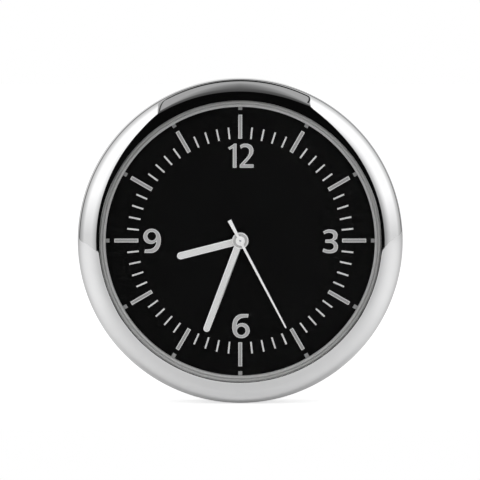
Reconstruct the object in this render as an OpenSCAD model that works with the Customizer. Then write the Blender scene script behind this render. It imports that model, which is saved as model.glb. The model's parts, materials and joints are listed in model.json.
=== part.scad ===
// Stick-on car clock: a polished round case with a black dial, three hands and a
// quartz movement, held to the dashboard by a foam pad under its twist-off back cover.
// Sizes are millimetres. The pieces are drawn lying on their back: x to the right,
// y to 12 o'clock, z towards the viewer, with z = 0 on the pad's sticky face. The
// module stand() then lifts 12 o'clock to +Z, so that the dial faces -Y and the
// sticky face faces +Y.

/* [Case] */
// outside diameter of the case at its widest
case_d = 40; // [39:0.5:44]
// depth from the sticky face of the pad to the crest of the bezel
depth = 12.5; // [12.3:0.1:14]
// width of the rounded bezel as seen from the front
bezel_w = 2.7; // [2.5:0.1:3]
// how far the bezel falls back from its crest to the widest place
bezel_drop = 3.4; // [3:0.1:3.8]
// how much less the diameter is at the rear edge than at the widest place
case_taper = 1.2; // [1:0.1:1.6]
// how far the case turns on its back cover between locked and free
unlock_angle = 22; // [16:1:26]

/* [Adhesive pad] */
// diameter of the foam pad
pad_d = 30; // [24:1:32]
// thickness of the foam pad
pad_t = 1; // [0.8:0.1:1.2]

/* [Crystal and dial] */
// thickness of the crystal
crystal_t = 1.2; // [1:0.1:1.3]
// how far the satin ring stands in front of the dial
flange_h = 1.75; // [1.65:0.05:1.9]
// visible width of the satin ring
flange_w = 0.8; // [0.6:0.1:1]
// thickness of the dial plate
dial_t = 0.4; // [0.3:0.05:0.5]
// inner end of the hour and minute marks, from the centre
mark_in_r = 12.54; // [12:0.02:12.8]
// length of an hour mark
hour_mark_len = 3; // [2.4:0.1:3.2]
// width of an hour mark
hour_mark_w = 0.6; // [0.4:0.05:0.8]
// length of a minute mark
minute_mark_len = 1.52; // [1.2:0.02:1.8]
// width of a minute mark
minute_mark_w = 0.27; // [0.2:0.01:0.36]

/* [Hands] */
// hour hand, centre to tip
hour_len = 8; // [7:0.5:9]
// minute hand, centre to tip
minute_len = 12; // [10:0.5:12.5]
// second hand, centre to tip
second_len = 12.15; // [10:0.05:12.5]
// tail of the second hand
second_tail = 2.86; // [2:0.02:3.2]
// angle of the hour hand, clockwise from 12
hour_at = 255.8; // [0:0.1:360]
// angle of the minute hand, clockwise from 12
minute_at = 200.9; // [0:0.1:360]
// angle of the second hand, clockwise from 12
second_at = 152.3; // [0:0.1:360]

/* [Setting crown] */
// diameter of the crown
crown_d = 3.4; // [2.6:0.1:3.4]
// how far the crown pulls out to set the hands
pull = 0.7; // [0.6:0.05:0.7]

/* [Hidden] */
// clearance of a turning fit, on the radius
run = 0.03;
// clearance of a loose fit, on the radius or at a side
loose = 0.05;
// room between pieces that never touch
free = 0.1;
// an overrun that lets a cut pass right through a face
over = 0.2;

// radii of the case
case_r = case_d / 2;
crest_r = case_r - bezel_w;
crest_flat = 0.1;
seat_w = 0.6;
bore_r = crest_r + seat_w;
rear_r = case_r - case_taper / 2;
flange_in_r = crest_r - flange_w;
// one arc makes the bezel: it is upright at the widest place and ends at the crest
arc_run = case_r - crest_r - crest_flat;
arc_r = (arc_run * arc_run + bezel_drop * bezel_drop) / (2 * arc_run);

// heights of the case, crystal and dial
z_crest = depth;
z_wide = z_crest - bezel_drop;
lip_t = 0.55;
z_lip = z_crest - lip_t;
z_glass = z_lip - crystal_t;
z_dial = z_glass - flange_h;
z_back = z_dial - dial_t;
mark_t = 0.06;
gasket_w = 0.4;
// the satin ring stands on a foot at its outer edge, so that marks can run under it
mark_room = 0.1;
flange_foot = 0.3;
stub_shown = 0.42;
stub_hidden = 0.3;

// heights, widths and hubs of the hands
hand_t = 0.15;
hand_step = 0.4;
z_hour = z_dial + 0.42;
z_minute = z_hour + hand_step;
z_second = z_minute + hand_step;
hub_r = 1.05;
hub_tail = 0.6;
hub_tail_w = 0.9;
hour_w_in = 0.92;
hour_w_tip = 0.94;
minute_w_in = 1;
minute_w_tip = 0.86;
second_hub_r = 0.6;
second_w_in = 0.36;
second_w_tip = 0.22;
second_tail_w = 0.55;

// back cover and what it closes on
cover_t = 1;
z_cover = pad_t + cover_t;
lug_t = 0.55;
lug_h = 0.5;
lug_span = 18;
lug_count = 3;
seal_t = 1.1;
seal_w = 1;
seal_out_r = bore_r - 0.5;
seal_in_r = seal_out_r - seal_w;
snap_t = 0.45;
snap_w = 1.2;
snap_bite = 0.3;
z_snap = z_cover + seal_t;
z_hold = z_snap + snap_t;

// heights of the movement, from the dial towards the back
spacer_t = 0.9;
z_mov = z_back - spacer_t;
recess = 0.7;
z_floor = z_mov - recess;
floor_t = 1;
z_plate = z_floor - floor_t;
train_gap = 1.6;
z_bridge = z_plate - train_gap;
bridge_t = 0.4;
mov_r = 11.65;
rim_w = 1.35;
wheel_t = 0.15;
// walls of a wheel round its bore and behind its teeth, and half the width of an arm
hub_wall = 0.3;
rim_wall = 0.28;
arm = 0.16;

// teeth of the wheels and leaves of their pinions
leaves = 8;
rotor_teeth = 48;
second_teeth = 40;
third_teeth = 60;
centre_teeth = 64;
cannon_leaves = 10;
minute_teeth = 30;
hour_teeth = 32;
setting_teeth = 18;
crown_leaves = 10;
rotor_m = 0.1;
second_m = 0.125;
third_m = 0.12;
motion_m = 0.16;
crown_m = 0.125;

// where the arbors stand, seen from the front
third_d = third_m * (leaves + third_teeth) / 2;
centre_m = 2 * third_d / (leaves + centre_teeth);
third_at = 290;
third_p = polar(third_d, third_at);
inter_at = 40;
inter_p = polar(second_m * (leaves + second_teeth) / 2, inter_at);
rotor_dir = 60;
rotor_p = inter_p + polar(rotor_m * (leaves + rotor_teeth) / 2, rotor_dir);
minute_dir = 300;
minute_p = polar(motion_m * (cannon_leaves + minute_teeth) / 2, minute_dir);
setting_dir = 24.2;
setting_p = minute_p + polar(motion_m * (minute_teeth + setting_teeth) / 2, setting_dir);

// heights of the train, each from the bridge's inner face
z_second_wheel = z_bridge + 0.08;
z_third_wheel = z_bridge + 0.45;
z_inter_wheel = z_bridge + 0.8;
z_centre_wheel = z_bridge + 1.2;
leaf_h = 0.28;
leaf_lead = 0.05;
pivot_r = 0.1;
seat_r = 0.25;
pivot_in = 0.3;

// tubes at the centre, each turning in the next
arbor_r = 0.125;
pipe_in = arbor_r + run;
pipe_r = 0.27;
cannon_r = 0.45;
hour_pipe_in = cannon_r + run;
hour_pipe_r = 0.75;
tube_in = pipe_r + run;
tube_r = 0.7;

// motion work, in the recess behind the dial
z_motion = z_floor + 0.18;
motion_t = 0.18;
z_hour_wheel = z_floor + 0.5;
z_guard = z_floor + 0.82;
guard_t = 0.15;
post_r = 0.3;

// stem, crown and what sets the hands
z_stem = z_floor - 0.42;
stem_r = 0.4;
stem_end = 0.6;
stem_x0 = 1.25;
stem_pivot_r = 0.2;
leaf_x0 = 2.95;
leaf_w = 0.55;
groove_x = 7.7;
groove_w = 0.3;
groove_r = 0.25;
crown_x = mov_r + 1.25;
crown_w = 2;
slide_t = 0.18;
slide_y = 2.4;
slide_x0 = 7.1;
slide_w = 2;
crown_tip_r = crown_m * crown_leaves / 2 + crown_m;
stem_seat_r = 0.3;
z_slide = z_floor + 0.02;
guide_p = [8.45, 1.4];
guide_r = 0.2;
nose_x = 8.6;

// motor, circuit and battery
motor_at = atan2(rotor_p[1], rotor_p[0]);
rotor_d = norm(rotor_p);
magnet_r = 0.75;
magnet_h = 0.52;
stator_t = 0.4;
z_stator = z_bridge + 0.15;
z_core = z_stator + stator_t;
coil_d = 9;
coil_r = 1.15;
coil_len = 8;
core_end = 5;
core_w = 1.5;
board_t = 0.3;
board_r = 10.9;
can_r = 0.95;
can_len = 6;
cell_r = 3.4;
cell_h = 2.6;
cell_d = 7.5;
cell_at = 135;
cell_p = polar(cell_d, cell_at);
contact_t = 0.1;
z_cell = z_plate + 0.3;
contact_r = 2.4;
clamp_t = 0.2;
clamp_w = 1.6;
z_clamp = z_cell - cell_h - clamp_t;
// the ends of the clamp are this much nearer the plate than its middle
clamp_drop = 1;
z_clamp_end = z_clamp + clamp_drop;
clamp_reach = 10.3;
clamp_spread = 36;
z_coil = z_core + stator_t / 2;
core_waist = 1.1;
z_magnet = z_bridge + 0.12;

// screws of one kind, and where they go
screw_r = 0.38;
screw_len = 1.2;
head_r = 0.7;
head_h = 0.35;
screw_post_r = 0.9;
bridge_screws = [[6.3, -3.2], [-4.3, -2.6], [-0.2, 6.3]];
clamp_screws = [for (a = [-clamp_spread, clamp_spread]) polar(clamp_reach, cell_at + a)];
coil_screws = [for (u = [-core_end, core_end]) turned([coil_d, u], motor_at)];
guard_screws = [[-2.9, -4.2], [5.2, 2.6], [4.4, -5.6]];
board_screw = polar(9.6, 252);
// each screw: its place, the height its head bears on, and which way it points
screws = concat(
  [for (p = bridge_screws) [p, z_bridge - bridge_t, 1]],
  [for (p = clamp_screws) [p, z_clamp_end, 1]],
  [for (p = coil_screws) [p, z_stator, 1]],
  [[board_screw, z_plate - board_t, 1]],
  [for (p = guard_screws) [p, z_guard + guard_t, -1]]
);

// holder of the movement, and the dial's two feet
hold_in = mov_r + free;
hold_r = bore_r - loose;
hold_wall = 0.9;
foot_r = 0.35;
foot_len = 2.4;
foot_at = [30, 210];
foot_d = mov_r - rim_w / 2;

function polar(r, a) = [r * cos(a), r * sin(a)];
function turned(p, a) = [p[0] * cos(a) - p[1] * sin(a), p[0] * sin(a) + p[1] * cos(a)];

// Outline of a toothed wheel: flanks that lean in to a rounded tip, with a gap that
// is a little wider than the tooth. One tooth points to the angle `phase`.
function teeth(n, m, phase) = [
  for (k = [0 : n - 1])
    let (r = n * m / 2, a = phase + k * 360 / n, p = 360 / n)
      each [
        polar(r - 1.3 * m, a - 0.26 * p),
        polar(r, a - 0.215 * p),
        polar(r + 0.75 * m, a - 0.12 * p),
        polar(r + 0.95 * m, a),
        polar(r + 0.75 * m, a + 0.12 * p),
        polar(r, a + 0.215 * p),
        polar(r - 1.3 * m, a + 0.26 * p)
      ]
];

// Phase of wheel B that meshes with wheel A, when B stands in direction d from A.
function meshed(phase_a, n_a, n_b, d) = d + 180 - (phase_a - d) * n_a / n_b + 180 / n_b;

// Phases are chained back from the gap that the crown's pinion slides into.
setting_gap = atan2(-setting_p[1], leaf_x0 + pull + leaf_w - 0.15 - setting_p[0]);
setting_phase = setting_gap + 180 / setting_teeth;
minute_phase = meshed(setting_phase, setting_teeth, minute_teeth, setting_dir + 180);
cannon_phase = meshed(minute_phase, minute_teeth, cannon_leaves, minute_dir + 180);

/* [Node] */
// node to show

module stand() {
  rotate([90, 0, 0]) children();
}

module ring(r_out, r_in, z, h) {
  translate([0, 0, z])
    difference() {
      cylinder(r = r_out, h = h, $fn = 96);
      translate([0, 0, -over]) cylinder(r = r_in, h = h + 2 * over, $fn = 96);
    }
}

// A slice of a ring, from angle a0 over `span` degrees.
module arc_ring(r_out, r_in, z, h, a0, span) {
  rotate([0, 0, a0])
    rotate_extrude(angle = span, $fn = 96)
      translate([r_in, z]) square([r_out - r_in, h]);
}

module rod(p, r, z, h) {
  translate([p[0], p[1], z]) cylinder(r = r, h = h, $fn = 48);
}

// A toothed wheel with crossed-out arms.
module wheel(p, n, m, phase, z, t, bore, arms = 4) {
  root = n * m / 2 - 1.3 * m;
  rim = root - rim_wall;
  hub = bore + hub_wall;
  translate([p[0], p[1], z])
    linear_extrude(t)
      difference() {
        polygon(teeth(n, m, phase));
        circle(r = bore, $fn = 48);
        if (arms > 0)
          for (k = [0 : arms - 1])
            rotate([0, 0, k * 360 / arms + 20])
              window(hub, rim, 360 / arms);
      }
}

// One opening between two arms, with straight sides along the arms.
module window(r_in, r_out, span) {
  intersection() {
    difference() {
      circle(r = r_out, $fn = 96);
      circle(r = r_in, $fn = 48);
    }
    polygon([
      [arm / sin(span / 2), 0],
      polar(2 * r_out, -span / 2) + polar(arm, 90 - span / 2),
      [2 * r_out / cos(span / 4), 0],
      polar(2 * r_out, span / 2) + polar(arm, span / 2 - 90)
    ]);
  }
}

module leaves_at(p, n, m, phase, z, h) {
  translate([p[0], p[1], z])
    linear_extrude(h) polygon(teeth(n, m, phase));
}

// Pinion of the train: pivots, leaves, and a seat for its wheel.
module train_pinion(p, m, phase, z_leaves, z_seat) {
  low = min(z_leaves, z_seat);
  high = max(z_leaves + leaf_h, z_seat + wheel_t);
  union() {
    rod(p, pivot_r, z_bridge - pivot_in, z_plate - z_bridge + 2 * pivot_in);
    rod(p, seat_r, low, high - low);
    leaves_at(p, leaves, m, phase, z_leaves, leaf_h);
  }
}

module adhesive_pad() {
  color("#d8d8d4") stand() cylinder(d = pad_d, h = pad_t, $fn = 96);
}

// Twist-off cover: a disc with three lugs and, on its inside, stiffening ribs that
// stay outside the movement.
module back_cover() {
  plate_r = bore_r - free;
  rib_in = mov_r + 0.35;
  rib_out = seal_in_r - free;
  rib_w = 0.6;
  rib_h = 0.5;
  rib_count = 18;
  lug_root = 1;
  color("#2b2b2d")
    stand()
      union() {
        translate([0, 0, pad_t]) cylinder(r = plate_r, h = cover_t, $fn = 96);
        for (k = [0 : lug_count - 1])
          arc_ring(bore_r + lug_h, plate_r - lug_root, z_cover - lug_t, lug_t,
            k * 360 / lug_count, lug_span);
        ring(rib_in + rib_w, rib_in, z_cover, rib_h);
        ring(rib_out, rib_out - rib_w, z_cover, rib_h);
        for (k = [0 : rib_count - 1])
          rotate([0, 0, k * 360 / rib_count])
            translate([rib_in + rib_w / 2, -rib_w / 2, z_cover])
              cube([rib_out - rib_in - rib_w, rib_w, rib_h]);
      }
}

module cover_seal() {
  color("#1c1c1e") stand() ring(seal_out_r, seal_in_r, z_cover, seal_t);
}

// Half section of the case, turned about the clock's axis.
module case_section() {
  difference() {
    union() {
      intersection() {
        translate([case_r - arc_r, z_wide]) circle(r = arc_r, $fn = 256);
        translate([crest_r, z_wide]) square([bezel_w + 1, bezel_drop]);
      }
      polygon([
        [crest_r, pad_t],
        [rear_r, pad_t],
        [case_r, z_wide],
        [crest_r, z_wide]
      ]);
    }
    polygon([
      [0, pad_t - over],
      [bore_r, pad_t - over],
      [bore_r, z_snap - loose],
      [bore_r + snap_bite + loose, z_snap - loose],
      [bore_r + snap_bite + loose, z_hold + loose],
      [bore_r, z_hold + loose],
      [bore_r, z_lip],
      [0, z_lip]
    ]);
  }
}

// Case with its bayonet: each lug enters by a slot in the rear edge, then turns
// along a groove until it is locked.
module case() {
  slot_r = bore_r + lug_h + loose;
  z_groove = z_cover - lug_t - loose;
  groove_h = lug_t + 2 * loose;
  spare = 1;
  color("#c9ccd0")
    stand()
      difference() {
        rotate_extrude($fn = 128) case_section();
        for (k = [0 : lug_count - 1]) {
          arc_ring(slot_r, bore_r - 1, z_groove, groove_h,
            k * 360 / lug_count - unlock_angle - spare, lug_span + unlock_angle + 2 * spare);
          arc_ring(slot_r, bore_r - 1, pad_t - over, z_groove + groove_h - pad_t + over,
            k * 360 / lug_count - unlock_angle - spare, lug_span + 2 * spare);
        }
      }
}

module crystal() {
  color("#dfe8ea", 0.3)
    stand()
      translate([0, 0, z_glass]) cylinder(r = bore_r - gasket_w, h = crystal_t, $fn = 96);
}

module crystal_gasket() {
  color("#e8e8e4") stand() ring(bore_r, bore_r - gasket_w, z_glass, crystal_t);
}

module flange_ring() {
  edge = 0.1;
  color("#9c9ea0")
    stand()
      rotate_extrude($fn = 96)
        polygon([
          [hold_r, z_dial],
          [hold_r, z_glass],
          [flange_in_r + edge, z_glass],
          [flange_in_r, z_glass - edge],
          [flange_in_r, z_dial + mark_room],
          [hold_r - flange_foot, z_dial + mark_room],
          [hold_r - flange_foot, z_dial]
        ]);
}

module dial_plate() {
  hole_r = hour_pipe_r + 0.2;
  color("#0c0c0d")
    stand()
      union() {
        ring(hold_r, hole_r, z_back, dial_t);
        for (a = foot_at)
          rod(polar(foot_d, a), foot_r, z_back - foot_len, foot_len);
      }
}

module radial_mark(a, r_in, len, w) {
  rotate([0, 0, -a]) translate([-w / 2, r_in, z_dial]) cube([w, len, mark_t]);
}

// Twelve long marks, and the short stubs that run from outside them to under the
// satin ring.
module hour_marks() {
  color("#a9abad")
    stand()
      for (k = [0 : 11]) {
        radial_mark(30 * k, mark_in_r, hour_mark_len, hour_mark_w);
        radial_mark(30 * k, flange_in_r - stub_shown, stub_shown + stub_hidden, hour_mark_w);
      }
}

module minute_marks() {
  color("#c4c6c8")
    stand()
      for (k = [0 : 59])
        if (k % 5 != 0)
          radial_mark(6 * k, mark_in_r, minute_mark_len, minute_mark_w);
}

// A baton hand that points to 12, then turned to its angle.
module baton(len, w_in, w_tip, r_hub, hole_r, z, tail_len, tail_w, angle) {
  tip_r = w_tip / 2;
  rotate([0, 0, -angle])
    translate([0, 0, z])
      linear_extrude(hand_t)
        difference() {
          union() {
            circle(r = r_hub, $fn = 64);
            polygon([
              [-tail_w / 2, -tail_len],
              [tail_w / 2, -tail_len],
              [w_in / 2, 0],
              [tip_r, len - tip_r],
              [-tip_r, len - tip_r],
              [-w_in / 2, 0]
            ]);
            translate([0, len - tip_r]) circle(r = tip_r, $fn = 48);
          }
          circle(r = hole_r, $fn = 48);
        }
}

module hour_hand() {
  color("#c8cacc")
    stand()
      baton(hour_len, hour_w_in, hour_w_tip, hub_r, hour_pipe_r, z_hour,
        hub_tail, hub_tail_w, hour_at);
}

module minute_hand() {
  color("#c8cacc")
    stand()
      baton(minute_len, minute_w_in, minute_w_tip, hub_r, cannon_r, z_minute,
        hub_tail, hub_tail_w, minute_at);
}

module second_hand() {
  color("#d4d6d8")
    stand()
      baton(second_len, second_w_in, second_w_tip, second_hub_r, arbor_r, z_second,
        second_tail, second_tail_w, second_at);
}

module dial_spacer() {
  color("#b9b7ae")
    stand()
      difference() {
        ring(mov_r, mov_r - rim_w + loose, z_mov, spacer_t);
        for (a = foot_at)
          rod(polar(foot_d, a), foot_r + loose, z_mov - over, spacer_t + 2 * over);
      }
}

// Moulded ring that centres the movement and carries the dial, with the crown's
// notch at 3 o'clock and three ledges behind the movement.
module holder_ring() {
  face_t = 1.1;
  rib_t = 0.7;
  rib_count = 10;
  rib_step = 0.1;
  notch_side = 0.7;
  notch_w = crown_d + 2 * notch_side;
  notch_top = z_stem + crown_d / 2 + free + loose;
  notch_in = 1;
  notch_end = crown_x + crown_w + pull + notch_side;
  ledge_t = 0.5;
  ledge_root = 0.3;
  ledge_reach = 0.4;
  ledge_span = 10;
  color("#3a3a3c")
    stand()
      union() {
        difference() {
          union() {
            ring(hold_r, hold_in, z_back - face_t, face_t);
            ring(hold_r, hold_r - hold_wall, z_hold, z_back - z_hold - rib_step);
            ring(hold_in + hold_wall, hold_in, z_bridge, z_back - z_bridge - rib_step);
            for (k = [0 : rib_count - 1])
              rotate([0, 0, (k + 0.5) * 360 / rib_count])
                translate([hold_in + hold_wall / 2, -rib_t / 2, z_bridge + rib_t])
                  cube([hold_r - hold_in - hold_wall, rib_t, z_back - z_bridge - rib_t - rib_step]);
          }
          translate([hold_in - notch_in, -notch_w / 2, z_hold - over])
            cube([notch_end - hold_in + notch_in, notch_w, notch_top - z_hold + over]);
        }
        for (a = [70, 190, 310])
          arc_ring(hold_in + ledge_root, mov_r - ledge_reach, z_plate - ledge_t, ledge_t,
            a, ledge_span);
      }
}

// Split ring sprung into a groove of the case, behind the holder.
module snap_ring() {
  gap = 24;
  color("#8d9196")
    stand()
      arc_ring(bore_r + snap_bite, bore_r + snap_bite - snap_w, z_snap, snap_t,
        270 + gap / 2, 360 - gap);
}

module in_motor() {
  rotate([0, 0, motor_at]) children();
}

// A rod along the stem's axis.
module rod_x(x0, x1, r) {
  translate([x0, 0, z_stem]) rotate([0, 90, 0]) cylinder(r = r, h = x1 - x0, $fn = 48);
}

// Base plate of the movement: posts behind it, and in front a recess for the motion
// work and the stem.
module main_plate() {
  slot_side = stem_r + loose;
  slot_x = leaf_x0 - 0.2;
  leaf_side = crown_tip_r + 0.1;
  slot_end = mov_r - rim_w - 0.3;
  coil_side = coil_r + 0.15;
  color("#b7a06a")
    stand()
      difference() {
        union() {
          rod([0, 0], mov_r, z_plate, z_mov - z_plate);
          for (p = bridge_screws)
            rod(p, screw_post_r, z_bridge, train_gap + over);
          for (p = clamp_screws)
            rod(p, clamp_w / 2, z_clamp_end + clamp_t, z_plate + over - z_clamp_end - clamp_t);
          for (p = coil_screws)
            rod(p, screw_post_r - 0.2, z_core + stator_t, z_plate + over - z_core - stator_t);
        }
        difference() {
          rod([0, 0], mov_r - rim_w, z_floor, recess + over);
          for (p = guard_screws)
            rod(p, screw_post_r - 0.1, z_floor - over, z_guard - z_floor + over);
          for (p = [minute_p, setting_p])
            rod(p, post_r, z_floor - over, z_guard - z_floor + over);
          rod(guide_p, guide_r, z_floor - over, slide_t + 0.15 + over);
        }
        rod([0, 0], tube_r, z_plate - over, z_floor - z_plate + 2 * over);
        rod(cell_p, cell_r + free, z_plate - over, over + z_cell + contact_t - z_plate);
        in_motor()
          translate([coil_d - coil_side, -coil_len / 2 - 0.15, z_plate - over])
            cube([2 * coil_side, coil_len + 0.3, z_coil + coil_r + free - z_plate + over]);
        for (p = [third_p, inter_p, rotor_p])
          rod(p, pivot_r + run, z_plate - over, over + pivot_in + loose);
        for (s = screws)
          rod(s[0], screw_r, min(s[1], s[1] + s[2] * screw_len), screw_len);
        for (a = foot_at)
          rod(polar(foot_d, a), foot_r + run, z_back - foot_len - loose, foot_len + over);
        translate([slot_x, -slot_side, z_stem - slot_side])
          cube([slot_end - slot_x, 2 * slot_side, z_mov - z_stem]);
        translate([slot_x, -leaf_side, z_plate - over])
          cube([leaf_w + pull + 0.45, 2 * leaf_side, floor_t + over + 0.1]);
        rod_x(stem_x0 - 0.1, slot_x + 0.1, stem_pivot_r + run);
        rod_x(slot_end - 0.1, mov_r + 1, slot_side);
      }
}

module centre_tube() {
  color("#c8b070") stand() ring(tube_r, tube_in, z_plate, floor_t + 0.04);
}

// Bridge that carries the back pivots of the train.
module train_bridge() {
  color("#b7a06a")
    stand()
      translate([0, 0, z_bridge - bridge_t])
        linear_extrude(bridge_t)
          difference() {
            hull() {
              for (p = bridge_screws)
                translate(p) circle(r = screw_post_r, $fn = 32);
              translate(third_p) circle(r = 1.4, $fn = 32);
              translate(rotor_p) circle(r = 1.2, $fn = 32);
            }
            translate(cell_p) circle(r = cell_r + 0.35, $fn = 96);
            for (p = bridge_screws)
              translate(p) circle(r = screw_r, $fn = 48);
            for (p = [third_p, inter_p, rotor_p])
              translate(p) circle(r = pivot_r + run, $fn = 48);
            circle(r = arbor_r + run, $fn = 48);
          }
}

// One slotted screw with its head on the side that `way` points away from.
module screw(p, z, way) {
  slot_w = 0.16;
  slot_h = 0.14;
  low = way > 0 ? z - head_h : z;
  outer = way > 0 ? z - head_h - over : z + head_h - slot_h;
  union() {
    rod(p, screw_r, min(z, z + way * screw_len), screw_len);
    difference() {
      rod(p, head_r, low, head_h);
      translate([p[0], p[1], outer])
        rotate([0, 0, 35])
          translate([-head_r - 0.1, -slot_w / 2, 0])
            cube([2 * head_r + 0.2, slot_w, slot_h + over]);
    }
  }
}

module movement_screws() {
  color("#9a9ca2")
    stand()
      for (s = screws)
        screw(s[0], s[1], s[2]);
}

module rotor_magnet() {
  color("#55585c")
    stand()
      translate([rotor_p[0], rotor_p[1], 0])
        ring(magnet_r, seat_r, z_magnet, magnet_h);
}

module rotor_pinion() {
  color("#c9ccd2")
    stand() train_pinion(rotor_p, rotor_m, rotor_dir + 180, z_inter_wheel - leaf_lead, z_magnet);
}

module intermediate_wheel() {
  color("#c9a84e")
    stand()
      wheel(inter_p, rotor_teeth, rotor_m, meshed(0, leaves, rotor_teeth, 0) + rotor_dir + 180,
        z_inter_wheel, wheel_t, seat_r);
}

module intermediate_pinion() {
  color("#c9ccd2")
    stand()
      train_pinion(inter_p, second_m, inter_at + 180, z_second_wheel - leaf_lead, z_inter_wheel);
}

module second_wheel() {
  color("#c9a84e")
    stand()
      wheel([0, 0], second_teeth, second_m, inter_at + 180 / second_teeth,
        z_second_wheel, wheel_t, seat_r);
}

// The long arbor of the second hand, from the bridge to the front.
module second_pinion() {
  z_leaves = z_third_wheel - leaf_lead;
  color("#c9ccd2")
    stand()
      union() {
        rod([0, 0], arbor_r, z_bridge - pivot_in, z_second + hand_t + 0.05 - z_bridge + pivot_in);
        rod([0, 0], seat_r, z_second_wheel, z_leaves + leaf_h - z_second_wheel);
        leaves_at([0, 0], leaves, third_m, third_at, z_leaves, leaf_h);
      }
}

module third_wheel() {
  color("#c9a84e")
    stand()
      wheel(third_p, third_teeth, third_m, third_at + 180 + 180 / third_teeth,
        z_third_wheel, wheel_t, seat_r);
}

module third_pinion() {
  color("#c9ccd2")
    stand()
      train_pinion(third_p, centre_m, third_at + 180, z_centre_wheel - leaf_lead, z_third_wheel);
}

// Centre wheel on its pipe, which the second hand's arbor runs through.
module centre_wheel() {
  color("#c9a84e")
    stand()
      difference() {
        union() {
          wheel([0, 0], centre_teeth, centre_m, third_at + 180 / centre_teeth,
            z_centre_wheel, wheel_t, pipe_in);
          rod([0, 0], pipe_r, z_centre_wheel, z_minute + hand_t - z_centre_wheel);
          rod([0, 0], pipe_r + 0.2, z_centre_wheel, z_plate - z_centre_wheel - loose);
        }
        rod([0, 0], pipe_in, z_centre_wheel - over, z_minute + hand_t - z_centre_wheel + 2 * over);
      }
}

// Cannon pinion, a tube pressed on the centre wheel's pipe; it carries the minute hand.
module cannon_pinion() {
  color("#c9ccd2")
    stand()
      difference() {
        union() {
          rod([0, 0], cannon_r, z_floor + 0.08, z_minute + hand_t - z_floor - 0.08);
          leaves_at([0, 0], cannon_leaves, motion_m, cannon_phase, z_motion - leaf_lead, leaf_h);
        }
        rod([0, 0], pipe_r, z_floor - over, z_minute + hand_t - z_floor + 2 * over);
      }
}

module minute_wheel() {
  color("#c9a84e")
    stand()
      union() {
        wheel(minute_p, minute_teeth, motion_m, minute_phase, z_motion, motion_t,
          post_r + run, 3);
        difference() {
          leaves_at(minute_p, leaves, motion_m, minute_dir + 180, z_motion + motion_t,
            z_hour_wheel + wheel_t + leaf_lead - z_motion - motion_t);
          rod(minute_p, post_r + run, z_motion, 1);
        }
      }
}

module hour_wheel() {
  color("#c9a84e")
    stand()
      difference() {
        union() {
          wheel([0, 0], hour_teeth, motion_m, minute_dir + 180 / hour_teeth, z_hour_wheel,
            wheel_t, hour_pipe_in, 3);
          rod([0, 0], hour_pipe_r, z_hour_wheel, z_hour + hand_t - z_hour_wheel);
        }
        rod([0, 0], hour_pipe_in, z_hour_wheel - over, z_hour + hand_t - z_hour_wheel + 2 * over);
      }
}

module setting_wheel() {
  color("#c9ccd2")
    stand()
      wheel(setting_p, setting_teeth, motion_m, setting_phase, z_motion, motion_t,
        post_r + run, 0);
}

// Thin plate over the motion work, behind the dial.
module motion_guard() {
  color("#b9bcc0")
    stand()
      translate([0, 0, z_guard])
        linear_extrude(guard_t)
          difference() {
            hull() {
              for (p = guard_screws)
                translate(p) circle(r = screw_post_r, $fn = 32);
              circle(r = 1.7, $fn = 32);
            }
            for (p = guard_screws)
              translate(p) circle(r = screw_r, $fn = 48);
            circle(r = hour_pipe_r + 0.1, $fn = 48);
          }
}

// Stator of the step motor: a yoke round the rotor, with a leg to each coil screw.
module stator() {
  leg_in = coil_len / 2 + 0.25;
  leg_out = core_end + 0.75;
  gap_r = magnet_r + 0.25;
  color("#8f9398")
    stand()
      in_motor()
        translate([0, 0, z_stator])
          linear_extrude(stator_t)
            difference() {
              polygon([
                [coil_d + 0.8, leg_in], [coil_d - 1.55, leg_in],
                [coil_d - 1.55, -leg_in], [coil_d + 0.8, -leg_in],
                [coil_d + 0.8, -leg_out], [coil_d - 1.4, -leg_out],
                [rotor_d - 1.1, -1.6], [rotor_d - 1.1, 1.6],
                [coil_d - 1.4, leg_out], [coil_d + 0.8, leg_out]
              ]);
              translate([rotor_d, 0]) circle(r = gap_r, $fn = 64);
              for (a = [50, 230])
                translate([rotor_d, 0]) rotate([0, 0, a])
                  translate([gap_r, 0]) circle(r = 0.14, $fn = 32);
              for (s = [-1, 1])
                translate([coil_d, s * core_end]) circle(r = screw_r, $fn = 48);
            }
}

module coil_core() {
  color("#8f9398")
    stand()
      in_motor()
        translate([0, 0, z_core])
          linear_extrude(stator_t)
            difference() {
              union() {
                translate([coil_d - core_waist / 2, -core_end]) square([core_waist, 2 * core_end]);
                for (s = [-1, 1])
                  translate([coil_d, s * core_end])
                    square([core_w, 1.5], center = true);
              }
              for (s = [-1, 1])
                translate([coil_d, s * core_end]) circle(r = screw_r, $fn = 48);
            }
}

module coil_winding() {
  color("#b4562c")
    stand()
      in_motor()
        difference() {
          translate([coil_d, coil_len / 2, z_coil])
            rotate([90, 0, 0]) cylinder(r = coil_r, h = coil_len, $fn = 64);
          translate([coil_d - core_waist / 2, -coil_len, z_core])
            cube([core_waist, 2 * coil_len, stator_t]);
        }
}

module circuit_board() {
  inner_r = 6.2;
  span = 84;
  color("#2f5d3a")
    stand()
      difference() {
        arc_ring(board_r, inner_r, z_plate - board_t, board_t, 180, span);
        rod(board_screw, screw_r, z_plate - board_t - over, board_t + 2 * over);
      }
}

// A drop of epoxy over the chip.
module chip() {
  chip_p = polar(8.3, 232);
  drop_r = 2;
  drop_h = 0.65;
  color("#141416")
    stand()
      translate([chip_p[0], chip_p[1], z_plate - board_t])
        intersection() {
          translate([0, 0, drop_r - drop_h]) sphere(r = drop_r, $fn = 64);
          translate([-drop_r, -drop_r, -drop_h]) cube([2 * drop_r, 2 * drop_r, drop_h]);
        }
}

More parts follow.
